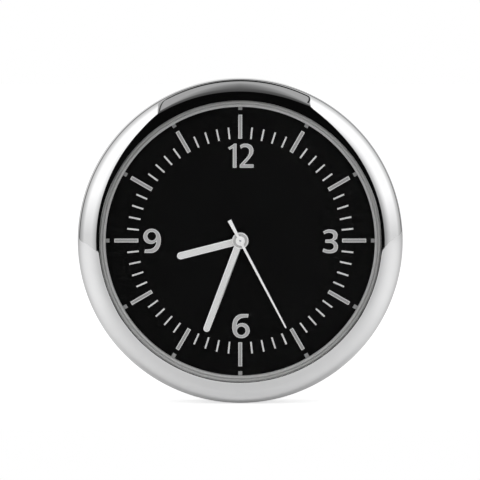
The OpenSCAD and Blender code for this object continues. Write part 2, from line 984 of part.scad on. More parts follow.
// The quartz, in a small metal can with two leads that reach the board.
module quartz_can() {
  can_at = 203;
  can_p = polar(8.7, can_at);
  lead_r = 0.12;
  lead_side = 0.4;
  lead_len = 1;
  lead_in = 0.1;
  color("#c4c7cb")
    stand()
      translate([can_p[0], can_p[1], z_plate - board_t - can_r])
        rotate([0, 0, can_at])
          rotate([90, 0, 0])
            union() {
              translate([0, 0, -can_len / 2]) cylinder(r = can_r, h = can_len, $fn = 64);
              for (s = [-1, 1])
                translate([s * lead_side, can_r - lead_r, can_len / 2 - lead_in])
                  cylinder(r = lead_r, h = lead_len, $fn = 32);
            }
}

// Button cell: can, rim groove and the smaller negative cap that faces the plate.
module battery() {
  cap_r = 2.7;
  cap_h = 0.35;
  color("#c9cbce")
    stand()
      translate([cell_p[0], cell_p[1], z_cell - cell_h])
        union() {
          cylinder(r = cell_r, h = cell_h - cap_h, $fn = 96);
          cylinder(r = cap_r, h = cell_h, $fn = 96);
        }
}

module battery_contact() {
  opening = [1.1, 0.7];
  opening_x = 0.9;
  color("#c8b070")
    stand()
      translate([cell_p[0], cell_p[1], z_cell])
        linear_extrude(contact_t)
          difference() {
            circle(r = contact_r, $fn = 64);
            for (k = [0 : 2])
              rotate([0, 0, k * 120]) translate([opening_x, -opening[1] / 2]) square(opening);
          }
}

// Strap over the battery, stepped down to a screw at each end.
module battery_clamp() {
  half = clamp_reach * sin(clamp_spread);
  step_x = cell_r + 0.6;
  spot_r = 1.7;
  color("#b9bcc0")
    stand()
      rotate([0, 0, cell_at])
        translate([clamp_reach * cos(clamp_spread), 0, 0])
          difference() {
            union() {
              translate([-clamp_w / 2, -step_x, z_clamp]) cube([clamp_w, 2 * step_x, clamp_t]);
              translate([cell_d - clamp_reach * cos(clamp_spread), 0, z_clamp])
                cylinder(r = spot_r, h = clamp_t, $fn = 64);
              for (s = [-1, 1]) {
                translate([-clamp_w / 2, s * step_x - clamp_t / 2, z_clamp])
                  cube([clamp_w, clamp_t, clamp_drop + clamp_t]);
                translate([-clamp_w / 2, min(s * step_x, s * half), z_clamp_end])
                  cube([clamp_w, half - step_x, clamp_t]);
                rod([0, s * half], clamp_w / 2, z_clamp_end, clamp_t);
              }
            }
            for (s = [-1, 1])
              rod([0, s * half], screw_r, z_clamp_end - over, clamp_t + 2 * over);
          }
}

// Stem: inner pivot, seat of the pinion, shaft with the groove, and the crown's end.
module stem() {
  shaft_x = leaf_x0 + leaf_w;
  color("#c9ccd2")
    stand()
      difference() {
        union() {
          rod_x(stem_x0, leaf_x0, stem_pivot_r);
          rod_x(leaf_x0, shaft_x, stem_seat_r);
          rod_x(shaft_x, crown_x + crown_w - stem_end, stem_r);
        }
        difference() {
          rod_x(groove_x, groove_x + groove_w, stem_r + over);
          rod_x(groove_x - over, groove_x + groove_w + over, groove_r);
        }
      }
}

module setting_pinion() {
  color("#b9bcc2")
    stand()
      translate([leaf_x0, 0, z_stem])
        rotate([0, 90, 0])
          linear_extrude(leaf_w)
            difference() {
              polygon(teeth(crown_leaves, crown_m, 180));
              circle(r = stem_seat_r, $fn = 48);
            }
}

// Knurled crown with chamfered edges.
module crown() {
  r = crown_d / 2;
  flutes = 24;
  edge = 0.25;
  knurl = [
    for (k = [0 : flutes - 1])
      let (a = k * 360 / flutes, p = 360 / flutes)
        each [polar(r, a - 0.22 * p), polar(r, a + 0.22 * p), polar(r - 0.14, a + 0.5 * p)]
  ];
  color("#d0d2d4")
    stand()
      translate([crown_x, 0, z_stem])
        rotate([0, 90, 0])
          difference() {
            intersection() {
              linear_extrude(crown_w) polygon(knurl);
              rotate_extrude($fn = 96)
                polygon([
                  [0, 0], [r - edge, 0], [r + 0.01, edge], [r + 0.01, crown_w - edge],
                  [r - edge, crown_w], [0, crown_w]
                ]);
            }
            translate([0, 0, -over])
              cylinder(r = stem_r, h = crown_w - stem_end + over, $fn = 48);
          }
}

// Slide that holds the stem in or out: a tongue in the stem's groove, a guide slot
// and two notches for the spring.
module detent_slide() {
  tongue_w = groove_w - 2 * run;
  tongue_z = z_stem + groove_r + run;
  color("#aeb1b6")
    stand()
      difference() {
        union() {
          translate([slide_x0, 0.55, z_slide]) cube([slide_w, slide_y - 0.55, slide_t]);
          translate([groove_x + run, -0.3, z_slide]) cube([tongue_w, 1, slide_t]);
          translate([groove_x + run, -0.3, tongue_z])
            cube([tongue_w, 0.6, z_slide + slide_t - tongue_z]);
        }
        translate([guide_p[0] - pull - guide_r - loose, guide_p[1] - guide_r - run, z_slide - over])
          cube([pull + 2 * guide_r + 2 * loose, 2 * guide_r + 2 * run, slide_t + 2 * over]);
        for (x = [nose_x, nose_x - pull])
          rod([x, slide_y + 0.08], 0.17, z_slide - over, slide_t + 2 * over);
      }
}

// Spring blade round a post of the plate; its nose stands at the slide's notches.
module detent_spring() {
  post = guard_screws[1];
  nose_r = 0.14;
  arm_y = slide_y + 0.2;
  color("#8fa0b4")
    stand()
      translate([0, 0, z_floor])
        linear_extrude(slide_t)
          difference() {
            union() {
              translate(post) circle(r = 1.3, $fn = 64);
              polygon([
                [post[0], post[1] - 0.3], [nose_x + 0.9, arm_y],
                [nose_x + 0.9, arm_y + 0.22], [post[0], post[1] + 0.7]
              ]);
              translate([nose_x, slide_y + 0.02 + nose_r]) circle(r = nose_r, $fn = 32);
            }
            translate(post) circle(r = screw_post_r - 0.1, $fn = 64);
          }
}

adhesive_pad();
back_cover();
cover_seal();
case();
crystal();
crystal_gasket();
flange_ring();
dial_plate();
hour_marks();
minute_marks();
hour_hand();
minute_hand();
second_hand();
dial_spacer();
holder_ring();
snap_ring();
main_plate();
centre_tube();
train_bridge();
movement_screws();
rotor_magnet();
rotor_pinion();
intermediate_wheel();
intermediate_pinion();
second_wheel();
second_pinion();
third_wheel();
third_pinion();
centre_wheel();
cannon_pinion();
minute_wheel();
hour_wheel();
setting_wheel();
motion_guard();
stator();
coil_core();
coil_winding();
circuit_board();
chip();
quartz_can();
battery();
battery_contact();
battery_clamp();
stem();
setting_pinion();
crown();
detent_slide();
detent_spring();
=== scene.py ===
"""Looks of a stick-on car clock: a polished round case, black dial, three silver hands,
and the quartz movement behind them. Lengths are metres; real sizes are written in
millimetres and turned by MM. In the frame +X is 3 o'clock, +Z is 12 o'clock, and the
dial faces -Y. A height above the pad's sticky face is called a depth here, and lies at
y = -depth."""

import json
import math

import bmesh
import bpy
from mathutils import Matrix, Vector
from mathutils.geometry import tessellate_polygon


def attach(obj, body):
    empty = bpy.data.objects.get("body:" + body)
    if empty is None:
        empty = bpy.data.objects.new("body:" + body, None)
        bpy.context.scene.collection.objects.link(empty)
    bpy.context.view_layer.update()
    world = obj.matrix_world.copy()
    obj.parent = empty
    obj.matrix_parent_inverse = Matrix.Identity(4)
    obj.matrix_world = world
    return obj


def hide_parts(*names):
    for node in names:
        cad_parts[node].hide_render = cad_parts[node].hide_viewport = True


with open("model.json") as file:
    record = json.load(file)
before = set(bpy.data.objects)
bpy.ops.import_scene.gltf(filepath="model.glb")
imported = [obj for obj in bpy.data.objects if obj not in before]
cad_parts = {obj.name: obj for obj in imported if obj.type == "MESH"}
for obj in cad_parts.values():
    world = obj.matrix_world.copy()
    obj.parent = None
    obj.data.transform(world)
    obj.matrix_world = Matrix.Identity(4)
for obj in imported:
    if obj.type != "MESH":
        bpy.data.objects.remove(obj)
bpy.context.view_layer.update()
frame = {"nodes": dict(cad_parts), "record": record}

nodes = frame["nodes"]
MM = 0.001

# Sizes of the case, in millimetres.
CASE_R = 20.0
DEPTH = 12.5
BEZEL_W = 2.7
BEZEL_DROP = 3.4
REAR_R = 19.4
REAR_EDGE = 0.15
CREST_R = CASE_R - BEZEL_W
CREST_FLAT = 0.1
CREST_EDGE = 0.01
BORE_R = CREST_R + 0.6
LIP_T = 0.55
WIDEST = DEPTH - BEZEL_DROP
SNAP_GROOVE = (3.05, 3.6)
SNAP_GROOVE_R = BORE_R + 0.35

# Foam pad: its edge radius, and how far its cut edge is drawn in at three heights.
PAD_R = 15.0
PAD_T = 1.0
PAD_EDGE = 0.12
PAD_WAIST = ((0.06, 0.35), (0.08, 0.5), (0.06, 0.65))

# The bayonet's three lugs and the slots that they turn in. Angles are degrees. The slots
# are cut from within the bore, and from OVERRUN behind the case's back face.
LUGS = 3
LUG_SPAN = 18
UNLOCK = 22
SLOT_SPARE = 1
SLOT_IN_R = BORE_R - 1
SLOT_R = BORE_R + 0.55
SLOT_DEPTHS = (1.4, 2.05)
OVERRUN = 0.2

# Crystal and dial. Twelve stubs of the hour marks run under the satin ring.
GLASS_DEPTH = DEPTH - LIP_T - 1.2
DIAL_DEPTH = GLASS_DEPTH - 1.75
MARK_T = 0.06
MARK_TOP = DIAL_DEPTH + MARK_T
MARK_IN_R = 12.54
STUB_REACH = 0.42

# Satin ring. It is a loose fit, and lies a little low in its seat. The radii of its groove
# and of its stepped outer edge are counted from RING_IN_R.
RING_IN_R = CREST_R - 0.8
RING_OUT_R = BORE_R - 0.05
RING_LOW = 0.05
RING_BEVEL = 0.1
RING_GROOVE = ((0.33, 0), (0.42, 0.17), (0.5, 0))
RING_LAND = 0.68
RING_STEP = 0.5
RING_FOOT = 0.3
MARK_ROOM = 0.1

# Numerals: how far the printed figures are drawn in, and the slope of their inked edge.
FIGURE_THIN = 0.045
INK_RIM = 0.07
INK_DROP = 0.01

# Hands: depths of their backs, hub radii, and the angles clockwise from 12.
HAND_T = 0.15
HOUR_DEPTH = DIAL_DEPTH + 0.42
MINUTE_DEPTH = HOUR_DEPTH + 0.4
SECOND_DEPTH = MINUTE_DEPTH + 0.4
HUB_R = 1.01
SECOND_HUB_R = 0.57
DISH_WALL = 0.08
DISH_LAP = 0.01  # how far the hollow reaches under the edge of the plate's hole
HOUR_AT, MINUTE_AT, SECOND_AT = 255.8, 200.9, 152.3


# Materials


def colour(code):
    """Linear colour from an sRGB hex code such as "#c8cacc"."""
    parts = [int(code[i : i + 2], 16) / 255 for i in (1, 3, 5)]
    return [p / 12.92 if p <= 0.04045 else ((p + 0.055) / 1.055) ** 2.4 for p in parts] + [1.0]


def add(tree, kind, settings=None, **inputs):
    """Adds a node, sets its settings, and sets or links its inputs. An input's name has
    underscores for spaces, or is i0, i1 and so on for its place."""
    new = tree.nodes.new(kind)
    for name, value in (settings or {}).items():
        setattr(new, name, value)
    for name, value in inputs.items():
        place = int(name[1:]) if name[0] == "i" and name[1:].isdigit() else name.replace("_", " ")
        socket = new.inputs[place]
        if isinstance(value, bpy.types.NodeSocket):
            tree.links.new(value, socket)
        else:
            socket.default_value = value
    return new


def material(name, base, rough, metallic=0.0, **sockets):
    """A material of one Principled shader. Returns it, its tree and the shader."""
    made = bpy.data.materials.new(name)
    made.use_nodes = True
    tree = made.node_tree
    shader = tree.nodes["Principled BSDF"]
    shader.inputs["Base Color"].default_value = colour(base)
    shader.inputs["Roughness"].default_value = rough
    shader.inputs["Metallic"].default_value = metallic
    for socket, value in sockets.items():
        shader.inputs[socket.replace("_", " ")].default_value = value
    return made, tree, shader


BROAD_GRAIN = 12  # how many times as broad as the grain its slow changes are
BROAD_SHARE = 0.35  # and their share in it


def grained(name, base, other, rough, grain, spread=0.08, bump=0.0, stretch=(1, 1, 1), **more):
    """A surface with a fine grain of `grain` millimetres: its colour wanders between base
    and other, its roughness by spread, and its height by `bump` millimetres."""
    made, tree, shader = material(name, base, rough, **more)
    place = add(tree, "ShaderNodeTexCoord").outputs["Object"]
    turned = add(tree, "ShaderNodeMapping", Vector=place, Scale=stretch).outputs["Vector"]
    fine = add(
        tree, "ShaderNodeTexNoise", Vector=turned, Scale=1 / (grain * MM), Detail=3.0
    ).outputs["Fac"]
    broad = add(
        tree, "ShaderNodeTexNoise", Vector=place, Scale=1 / (BROAD_GRAIN * grain * MM), Detail=2.0
    ).outputs["Fac"]
    both = add(tree, "ShaderNodeMix", {"data_type": "FLOAT"}, Factor=BROAD_SHARE, i2=fine,
               i3=broad)
    hue = add(tree, "ShaderNodeMix", {"data_type": "RGBA"}, i0=both.outputs[0],
              i6=colour(base), i7=colour(other))
    tree.links.new(hue.outputs[2], shader.inputs["Base Color"])
    dull = add(tree, "ShaderNodeMapRange", Value=both.outputs[0], i1=0.25, i2=0.75,
               i3=max(rough - spread, 0.0), i4=min(rough + spread, 1.0))
    tree.links.new(dull.outputs[0], shader.inputs["Roughness"])
    if bump:
        lift = add(tree, "ShaderNodeBump", Strength=1.0, Distance=bump * MM, Height=fine)
        tree.links.new(lift.outputs["Normal"], shader.inputs["Normal"])
    return made


def turned_metal(name, base, rough, line, depth, spread=0.06, metallic=1.0):
    """A surface turned on a lathe about the clock's axis: fine rings `line` millimetres
    apart and `depth` millimetres deep, which spread a reflection across them. Its roughness
    wanders by spread."""
    made, tree, shader = material(name, base, rough, metallic)
    place = add(tree, "ShaderNodeTexCoord").outputs["Object"]
    flat = add(tree, "ShaderNodeVectorMath", {"operation": "MULTIPLY"}, i0=place, i1=(1, 0, 1))
    radius = add(tree, "ShaderNodeVectorMath", {"operation": "LENGTH"}, i0=flat.outputs[0])
    rings = add(tree, "ShaderNodeTexNoise", {"noise_dimensions": "1D"},
                W=radius.outputs["Value"], Scale=1 / (line * MM), Detail=2.0).outputs["Fac"]
    dull = add(tree, "ShaderNodeMapRange", Value=rings, i1=0.3, i2=0.7, i3=rough - spread,
               i4=rough + spread)
    tree.links.new(dull.outputs[0], shader.inputs["Roughness"])
    lift = add(tree, "ShaderNodeBump", Strength=1.0, Distance=depth * MM, Height=rings)
    tree.links.new(lift.outputs["Normal"], shader.inputs["Normal"])
    return made


def coated_glass(name):
    """Clear glass that lets lamps and soft light through to what lies behind it."""
    made, tree, shader = material(name, "#ffffff", rough=0.0, Transmission_Weight=1.0,
                                  IOR=1.52, Specular_IOR_Level=0.1)
    ray = add(tree, "ShaderNodeLightPath").outputs
    passes = add(tree, "ShaderNodeMath", {"operation": "MAXIMUM"}, i0=ray["Is Shadow Ray"],
                 i1=ray["Is Diffuse Ray"])
    clear = add(tree, "ShaderNodeBsdfTransparent", Color=colour("#fdfdfd"))
    pane = add(tree, "ShaderNodeMixShader", i0=passes.outputs[0], i1=shader.outputs[0],
               i2=clear.outputs[0])
    tree.links.new(pane.outputs[0], tree.nodes["Material Output"].inputs["Surface"])
    return made


def wound_wire(name, base, rough, turn, height, coil_at):
    """Wire in turns `turn` millimetres apart that stand `height` millimetres high, on a coil
    whose axis lies coil_at degrees from +Z towards -X."""
    wave_step = math.pi / 10  # length of one band of the Wave texture at a scale of 1
    made, tree, shader = material(name, base, rough, metallic=1.0)
    place = add(tree, "ShaderNodeTexCoord").outputs["Object"]
    along = add(tree, "ShaderNodeMapping", Vector=place,
                Rotation=(0, math.radians(coil_at), 0)).outputs["Vector"]
    turns = add(tree, "ShaderNodeTexWave", {"bands_direction": "Z"}, Vector=along,
                Scale=wave_step / (turn * MM))
    lift = add(tree, "ShaderNodeBump", Strength=0.8, Distance=height * MM,
               Height=turns.outputs["Fac"])
    tree.links.new(lift.outputs["Normal"], shader.inputs["Normal"])
    return made


# Chrome plate, buffed to a mirror: only hairlines from wiping break the reflection.
chrome = grained("chrome_mirror_buffed", "#e6e6e6", "#e0e0e1", rough=0.03, grain=0.9,
                 spread=0.015, metallic=1.0)
# Mineral glass, polished, with a coating that takes away most of its reflection.
glass = coated_glass("mineral_glass_coated")
# Nylon, moulded, a little clouded.
nylon = grained("nylon_moulded_natural", "#e6e5df", "#d9d8d0", rough=0.35, grain=0.4, spread=0.05)
# Aluminium ring, turned, then anodised satin: the oxide makes it an even grey.
satin_ring = turned_metal("aluminium_anodised_satin", "#b4b4b4", rough=0.5, line=0.06,
                          depth=0.002, metallic=0.2)
# Brass dial under satin black lacquer, with the faint orange peel of spray.
dial_black = grained("lacquer_satin_black", "#0a0a0a", "#0b0b0b", rough=0.22, grain=0.25,
                     spread=0.05, bump=0.0005, Specular_IOR_Level=0.02)
# Pad print in grey ink, a dense film. The paler colours of the rims are a painted highlight along
# each mark's sloped edge.
ink_grey = grained("ink_pad_print_grey", "#8e8e8e", "#868686", rough=0.5, grain=0.12, spread=0.06)
ink_numeral = grained("ink_pad_print_numeral", "#a0a0a0", "#989898", rough=0.5, grain=0.12,
                      spread=0.06)
# Paler rim of the hour marks and figures: a painted highlight.
ink_painted_highlight_rim = grained("ink_pad_print_painted_highlight_rim", "#cecece", "#c6c6c6", rough=0.45, grain=0.12, spread=0.06)
ink_light = grained("ink_pad_print_light", "#c2c2c2", "#bababa", rough=0.5, grain=0.12,
                    spread=0.06)
# Paler rim of the minute marks: a painted highlight.
ink_light_painted_highlight_rim = grained("ink_pad_print_light_painted_highlight_rim", "#dcdcdc", "#d4d4d4", rough=0.45, grain=0.12,
                         spread=0.06)
# Stamped brass hands under silver lacquer, white on the second hand. The brighter colour along the
# stamped edge is a painted highlight, and the darker colour in the minute hand's pressed hub is
# painted shade.
hand_silver = grained("lacquer_silver_satin", "#cccccc", "#c6c6c6", rough=0.42, grain=0.1,
                      spread=0.06)
hand_white = grained("lacquer_white_satin", "#e4e4e4", "#dedede", rough=0.42, grain=0.1,
                     spread=0.06)
# Brighter colour along the stamped edge: a painted highlight.
hand_painted_highlight_edge = grained("lacquer_silver_painted_highlight_edge", "#ececec", "#e4e4e4", rough=0.3, grain=0.1,
                    spread=0.05)
# Darker colour in the pressed hub hollow: painted shade under the second hand's hub.
hand_painted_shade_dish = grained("lacquer_silver_painted_shade_dish", "#b6b6b6", "#aaaaaa", rough=0.45, grain=0.1,
                    spread=0.06)
# Closed-cell foam, die cut: matt skin with small pores.
foam = grained("polyethylene_foam_die_cut", "#dedcd6", "#b0aea6", rough=0.85, grain=0.22,
               spread=0.06, bump=0.05)
# ABS, moulded with a fine spark-eroded texture.
abs_black = grained("abs_moulded_black", "#2a2a2c", "#232325", rough=0.5, grain=0.18, spread=0.08,
                    bump=0.012)
# Nitrile rubber, moulded: dull and slightly dusty.
rubber = grained("nitrile_rubber_moulded", "#1b1b1d", "#222224", rough=0.65, grain=0.15,
                 spread=0.08, bump=0.006)
# Glass-filled nylon, moulded: grey-black with a dry surface.
holder_plastic = grained("nylon_glass_filled_moulded", "#39393b", "#303032", rough=0.55,
                         grain=0.2, spread=0.08, bump=0.01)
# Acetal, moulded in its natural ivory, waxy.
spacer_plastic = grained("acetal_moulded_natural", "#bab8af", "#b0aea4", rough=0.45, grain=0.2,
                         spread=0.06, bump=0.004)
# Spring steel, rolled: grain runs along the strip.
spring_steel = grained("spring_steel_rolled", "#9498a0", "#868a92", rough=0.32, grain=0.08,
                       spread=0.08, stretch=(0.1, 1, 1), metallic=1.0)
# Brass plates, brushed one way and gilt.
plate_brass = grained("brass_brushed_gilt", "#d0b070", "#c4a462", rough=0.34, grain=0.06,
                      spread=0.08, bump=0.001, stretch=(0.06, 1, 1), metallic=1.0)
# Brass wheels, turned and polished.
wheel_brass = turned_metal("brass_turned_polished", "#d6b25c", rough=0.24, line=0.08, depth=0.001)
# Pinion steel, cut and burnished.
pinion_steel = grained("steel_burnished", "#c6c9ce", "#b8bbc1", rough=0.2, grain=0.1, spread=0.06,
                       metallic=1.0)
# Steel screws under nickel plate.
screw_steel = grained("steel_nickel_plated_screw", "#a6a8ae", "#9a9ca2", rough=0.24, grain=0.12,
                      spread=0.06, metallic=1.0)
# Rare-earth magnet, sintered: dark and slightly speckled.
magnet_grey = grained("samarium_cobalt_sintered", "#5c5f63", "#4c4f53", rough=0.48, grain=0.05,
                      spread=0.1, bump=0.002, metallic=1.0)
# Soft iron, punched and annealed: a dull blue-grey.
soft_iron = grained("soft_iron_annealed", "#8f9398", "#83878d", rough=0.42, grain=0.15,
                    spread=0.1, metallic=1.0)
# Circuit board, green solder mask over woven glass.
board_green = grained("solder_mask_green", "#2f5d3a", "#28523a", rough=0.38, grain=0.3,
                      spread=0.08, bump=0.004)
# Epoxy drop over the chip, glossy and slightly wavy.
epoxy = grained("epoxy_cast_black", "#141416", "#19191b", rough=0.14, grain=0.8, spread=0.05,
                bump=0.004)
# Nickel plate on pressed steel.
nickel = grained("nickel_plate_pressed", "#cdcfd2", "#c0c2c6", rough=0.22, grain=0.25,
                 spread=0.07, metallic=1.0)
# Enamelled copper wire, wound: the turns lie side by side along the coil. They are drawn
# coarser than the real 0.02 mm wire, so that they show.
copper = wound_wire("copper_wire_enamelled", "#b4562c", rough=0.3, turn=0.2, height=0.02,
                    coil_at=49.65)

FINISH = {
    "foam": foam, "black_plastic": abs_black, "seal_rubber": rubber, "chrome_case": chrome,
    "crystal": glass, "gasket_nylon": nylon, "satin_ring": satin_ring, "dial_black": dial_black,
    "mark_grey": ink_grey, "mark_light": ink_light, "hand_silver": hand_silver,
    "holder_plastic": holder_plastic, "spacer_plastic": spacer_plastic,
    "spring_steel": spring_steel, "plate_brass": plate_brass, "wheel_brass": wheel_brass,
    "pinion_steel": pinion_steel, "screw_steel": screw_steel, "magnet_grey": magnet_grey,
    "soft_iron": soft_iron, "copper_wire": copper, "board_green": board_green,
    "epoxy_black": epoxy, "nickel": nickel,
}
for part in frame["record"]["subparts"]:
    mesh = nodes[part["node"]].data
    mesh.materials.clear()
    mesh.materials.append(FINISH[part["material_slot"]])


# Making pieces


def piece(name, mesh, body, slot, *replaced):
    """A finished piece: it rides on its body and stands for the CAD nodes it replaces."""
    made = bpy.data.objects.new(name, mesh)
    bpy.context.scene.collection.objects.link(made)
    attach(made, body)
    if replaced:
        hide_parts(*replaced)
    return made


def to_mesh(name, bm, *materials, sharp=30):
    """Closes the doubles, turns the faces outwards and shades them smooth up to `sharp`."""
    bmesh.ops.remove_doubles(bm, verts=bm.verts, dist=1e-7)
    bmesh.ops.recalc_face_normals(bm, faces=bm.faces)
    for face in bm.faces:
        face.smooth = True
    mesh = bpy.data.meshes.new(name)
    bm.to_mesh(mesh)
    bm.free()
    mesh.set_sharp_from_angle(angle=math.radians(sharp))
    for made in materials:
        mesh.materials.append(made)
    return mesh


CIRCLE = (0, 350, 35)  # an arc whose last point is one step short of its first


def arc(cx, cy, radius, start, end, steps):
    """Points of an arc in millimetres, by angle from +x towards +y."""
    return [
        (cx + radius * math.cos(math.radians(start + (end - start) * k / steps)),
         cy + radius * math.sin(math.radians(start + (end - start) * k / steps)))
        for k in range(steps + 1)
    ]


def lathe(profile, steps, span=(0, 360)):
    """Turns a closed outline of (radius, depth) points in millimetres about the axis.
    A span under 360 degrees gives a block with flat ends."""
    bm = bmesh.new()
    whole = span[1] - span[0] == 360
    loops = []
    for k in range(steps + (0 if whole else 1)):
        a = math.radians(span[0] + (span[1] - span[0]) * k / steps)
        loops.append([
            bm.verts.new((r * math.cos(a) * MM, -depth * MM, r * math.sin(a) * MM))
            for r, depth in profile
        ])
    if whole:
        loops.append(loops[0])
    else:
        bm.faces.new(loops[0])
        bm.faces.new(loops[-1])
    n = len(profile)
    for one, two in zip(loops, loops[1:]):
        for i in range(n):
            j = (i + 1) % n
            if profile[i][0] == 0 and profile[j][0] == 0:
                continue
            if profile[i][0] == 0:
                bm.faces.new((one[i], two[j], one[j]))
            elif profile[j][0] == 0:
                bm.faces.new((one[i], two[i], one[j]))
            else:
                bm.faces.new((one[i], two[i], two[j], one[j]))
    return bm


def temporary(name, mesh):
    """An object that holds a mesh and rides on no body."""
    made = bpy.data.objects.new(name, mesh)
    bpy.context.scene.collection.objects.link(made)
    return made


def settled(made):
    """The plain mesh of an object with its modifiers applied; the object itself goes."""
    bpy.context.view_layer.update()
    final = made.evaluated_get(bpy.context.evaluated_depsgraph_get())
    mesh = bpy.data.meshes.new_from_object(final)
    bpy.data.objects.remove(made)
    return mesh


def cut(base, others):
    """The mesh of base with each of the other meshes cut out of it."""
    made = temporary("base", base)
    tools = [temporary("tool", m) for m in others]
    for tool in tools:
        step = made.modifiers.new("cut", "BOOLEAN")
        step.operation = "DIFFERENCE"
        step.solver = "EXACT"
        step.object = tool
    mesh = settled(made)
    for tool in tools:
        bpy.data.objects.remove(tool)
    return mesh


# Case


# The bezel is one arc, upright at the widest place, that ends at the crest.
ARC_RUN = BEZEL_W - CREST_FLAT
ARC_R = (ARC_RUN**2 + BEZEL_DROP**2) / (2 * ARC_RUN)
ARC_END = math.degrees(math.asin(BEZEL_DROP / ARC_R))
case_profile = (
    [(BORE_R, PAD_T), (REAR_R - REAR_EDGE, PAD_T)]
    + arc(REAR_R - REAR_EDGE, PAD_T + REAR_EDGE, REAR_EDGE, -90, 0, 4)
    + arc(CASE_R - ARC_R, WIDEST, ARC_R, 0, ARC_END, 48)
    + arc(CREST_R + CREST_EDGE, DEPTH - CREST_EDGE, CREST_EDGE, 90, 180, 2)
    + [(CREST_R, DEPTH - LIP_T), (BORE_R, DEPTH - LIP_T), (BORE_R, SNAP_GROOVE[1])]
    + [(SNAP_GROOVE_R, SNAP_GROOVE[1]), (SNAP_GROOVE_R, SNAP_GROOVE[0])]
    + [(BORE_R, SNAP_GROOVE[0])]
)
# Each lug's slot is a way in from the back and a longer way round in front of it.
slots = []
for k in range(LUGS):
    start = k * 360 / LUGS - UNLOCK - SLOT_SPARE
    for low, high, end in (
        (*SLOT_DEPTHS, k * 360 / LUGS + LUG_SPAN + SLOT_SPARE),
        (PAD_T - OVERRUN, SLOT_DEPTHS[1], start + LUG_SPAN + 2 * SLOT_SPARE),
    ):
        block = [(SLOT_IN_R, low), (SLOT_R, low), (SLOT_R, high), (SLOT_IN_R, high)]
        slots.append(to_mesh("slot", lathe(block, 24, (start, end))))
case = cut(to_mesh("case", lathe(case_profile, 288), chrome), slots)
case.set_sharp_from_angle(angle=math.radians(30))
piece("case_polished", case, "clock", "chrome_case", "case")

# The satin ring has a bevelled inner edge and a fine groove turned in its face, and its
# outer edge is stepped down, which leaves a dark gap at the lip. It stands on a foot, so
# that the stubs can run under it.
seen_in_r = RING_IN_R + RING_LOW
ring_profile = (
    [(RING_OUT_R, DIAL_DEPTH), (RING_OUT_R, GLASS_DEPTH - RING_STEP)]
    + [(RING_IN_R + RING_LAND, GLASS_DEPTH - RING_STEP), (RING_IN_R + RING_LAND, GLASS_DEPTH)]
    + [(RING_IN_R + r, GLASS_DEPTH - cut_in) for r, cut_in in RING_GROOVE[::-1]]
    + [(seen_in_r + RING_BEVEL, GLASS_DEPTH), (seen_in_r, GLASS_DEPTH - RING_BEVEL)]
    + [(seen_in_r, DIAL_DEPTH + MARK_ROOM), (RING_OUT_R - RING_FOOT, DIAL_DEPTH + MARK_ROOM)]
    + [(RING_OUT_R - RING_FOOT, DIAL_DEPTH)]
)
ring = lathe(ring_profile, 192)
bmesh.ops.translate(ring, verts=ring.verts, vec=(0, 0, -RING_LOW * MM))
piece("flange_ring_satin", to_mesh("flange_ring_satin", ring, satin_ring), "clock", "satin_ring",
      "flange_ring")

# Foam pad: die cut, so its edge is drawn in a little at half its thickness.
pad_profile = (
    [(0, 0)]
    + arc(PAD_R - PAD_EDGE, PAD_EDGE, PAD_EDGE, -90, 0, 4)
    + [(PAD_R - inward, height) for inward, height in PAD_WAIST]
    + arc(PAD_R - PAD_EDGE, PAD_T - PAD_EDGE, PAD_EDGE, 0, 90, 4)
    + [(0, PAD_T)]
)
pad = piece("foam_pad", to_mesh("foam_pad", lathe(pad_profile, 144), foam), "base", "foam",
            "adhesive_pad")


# Dial marks


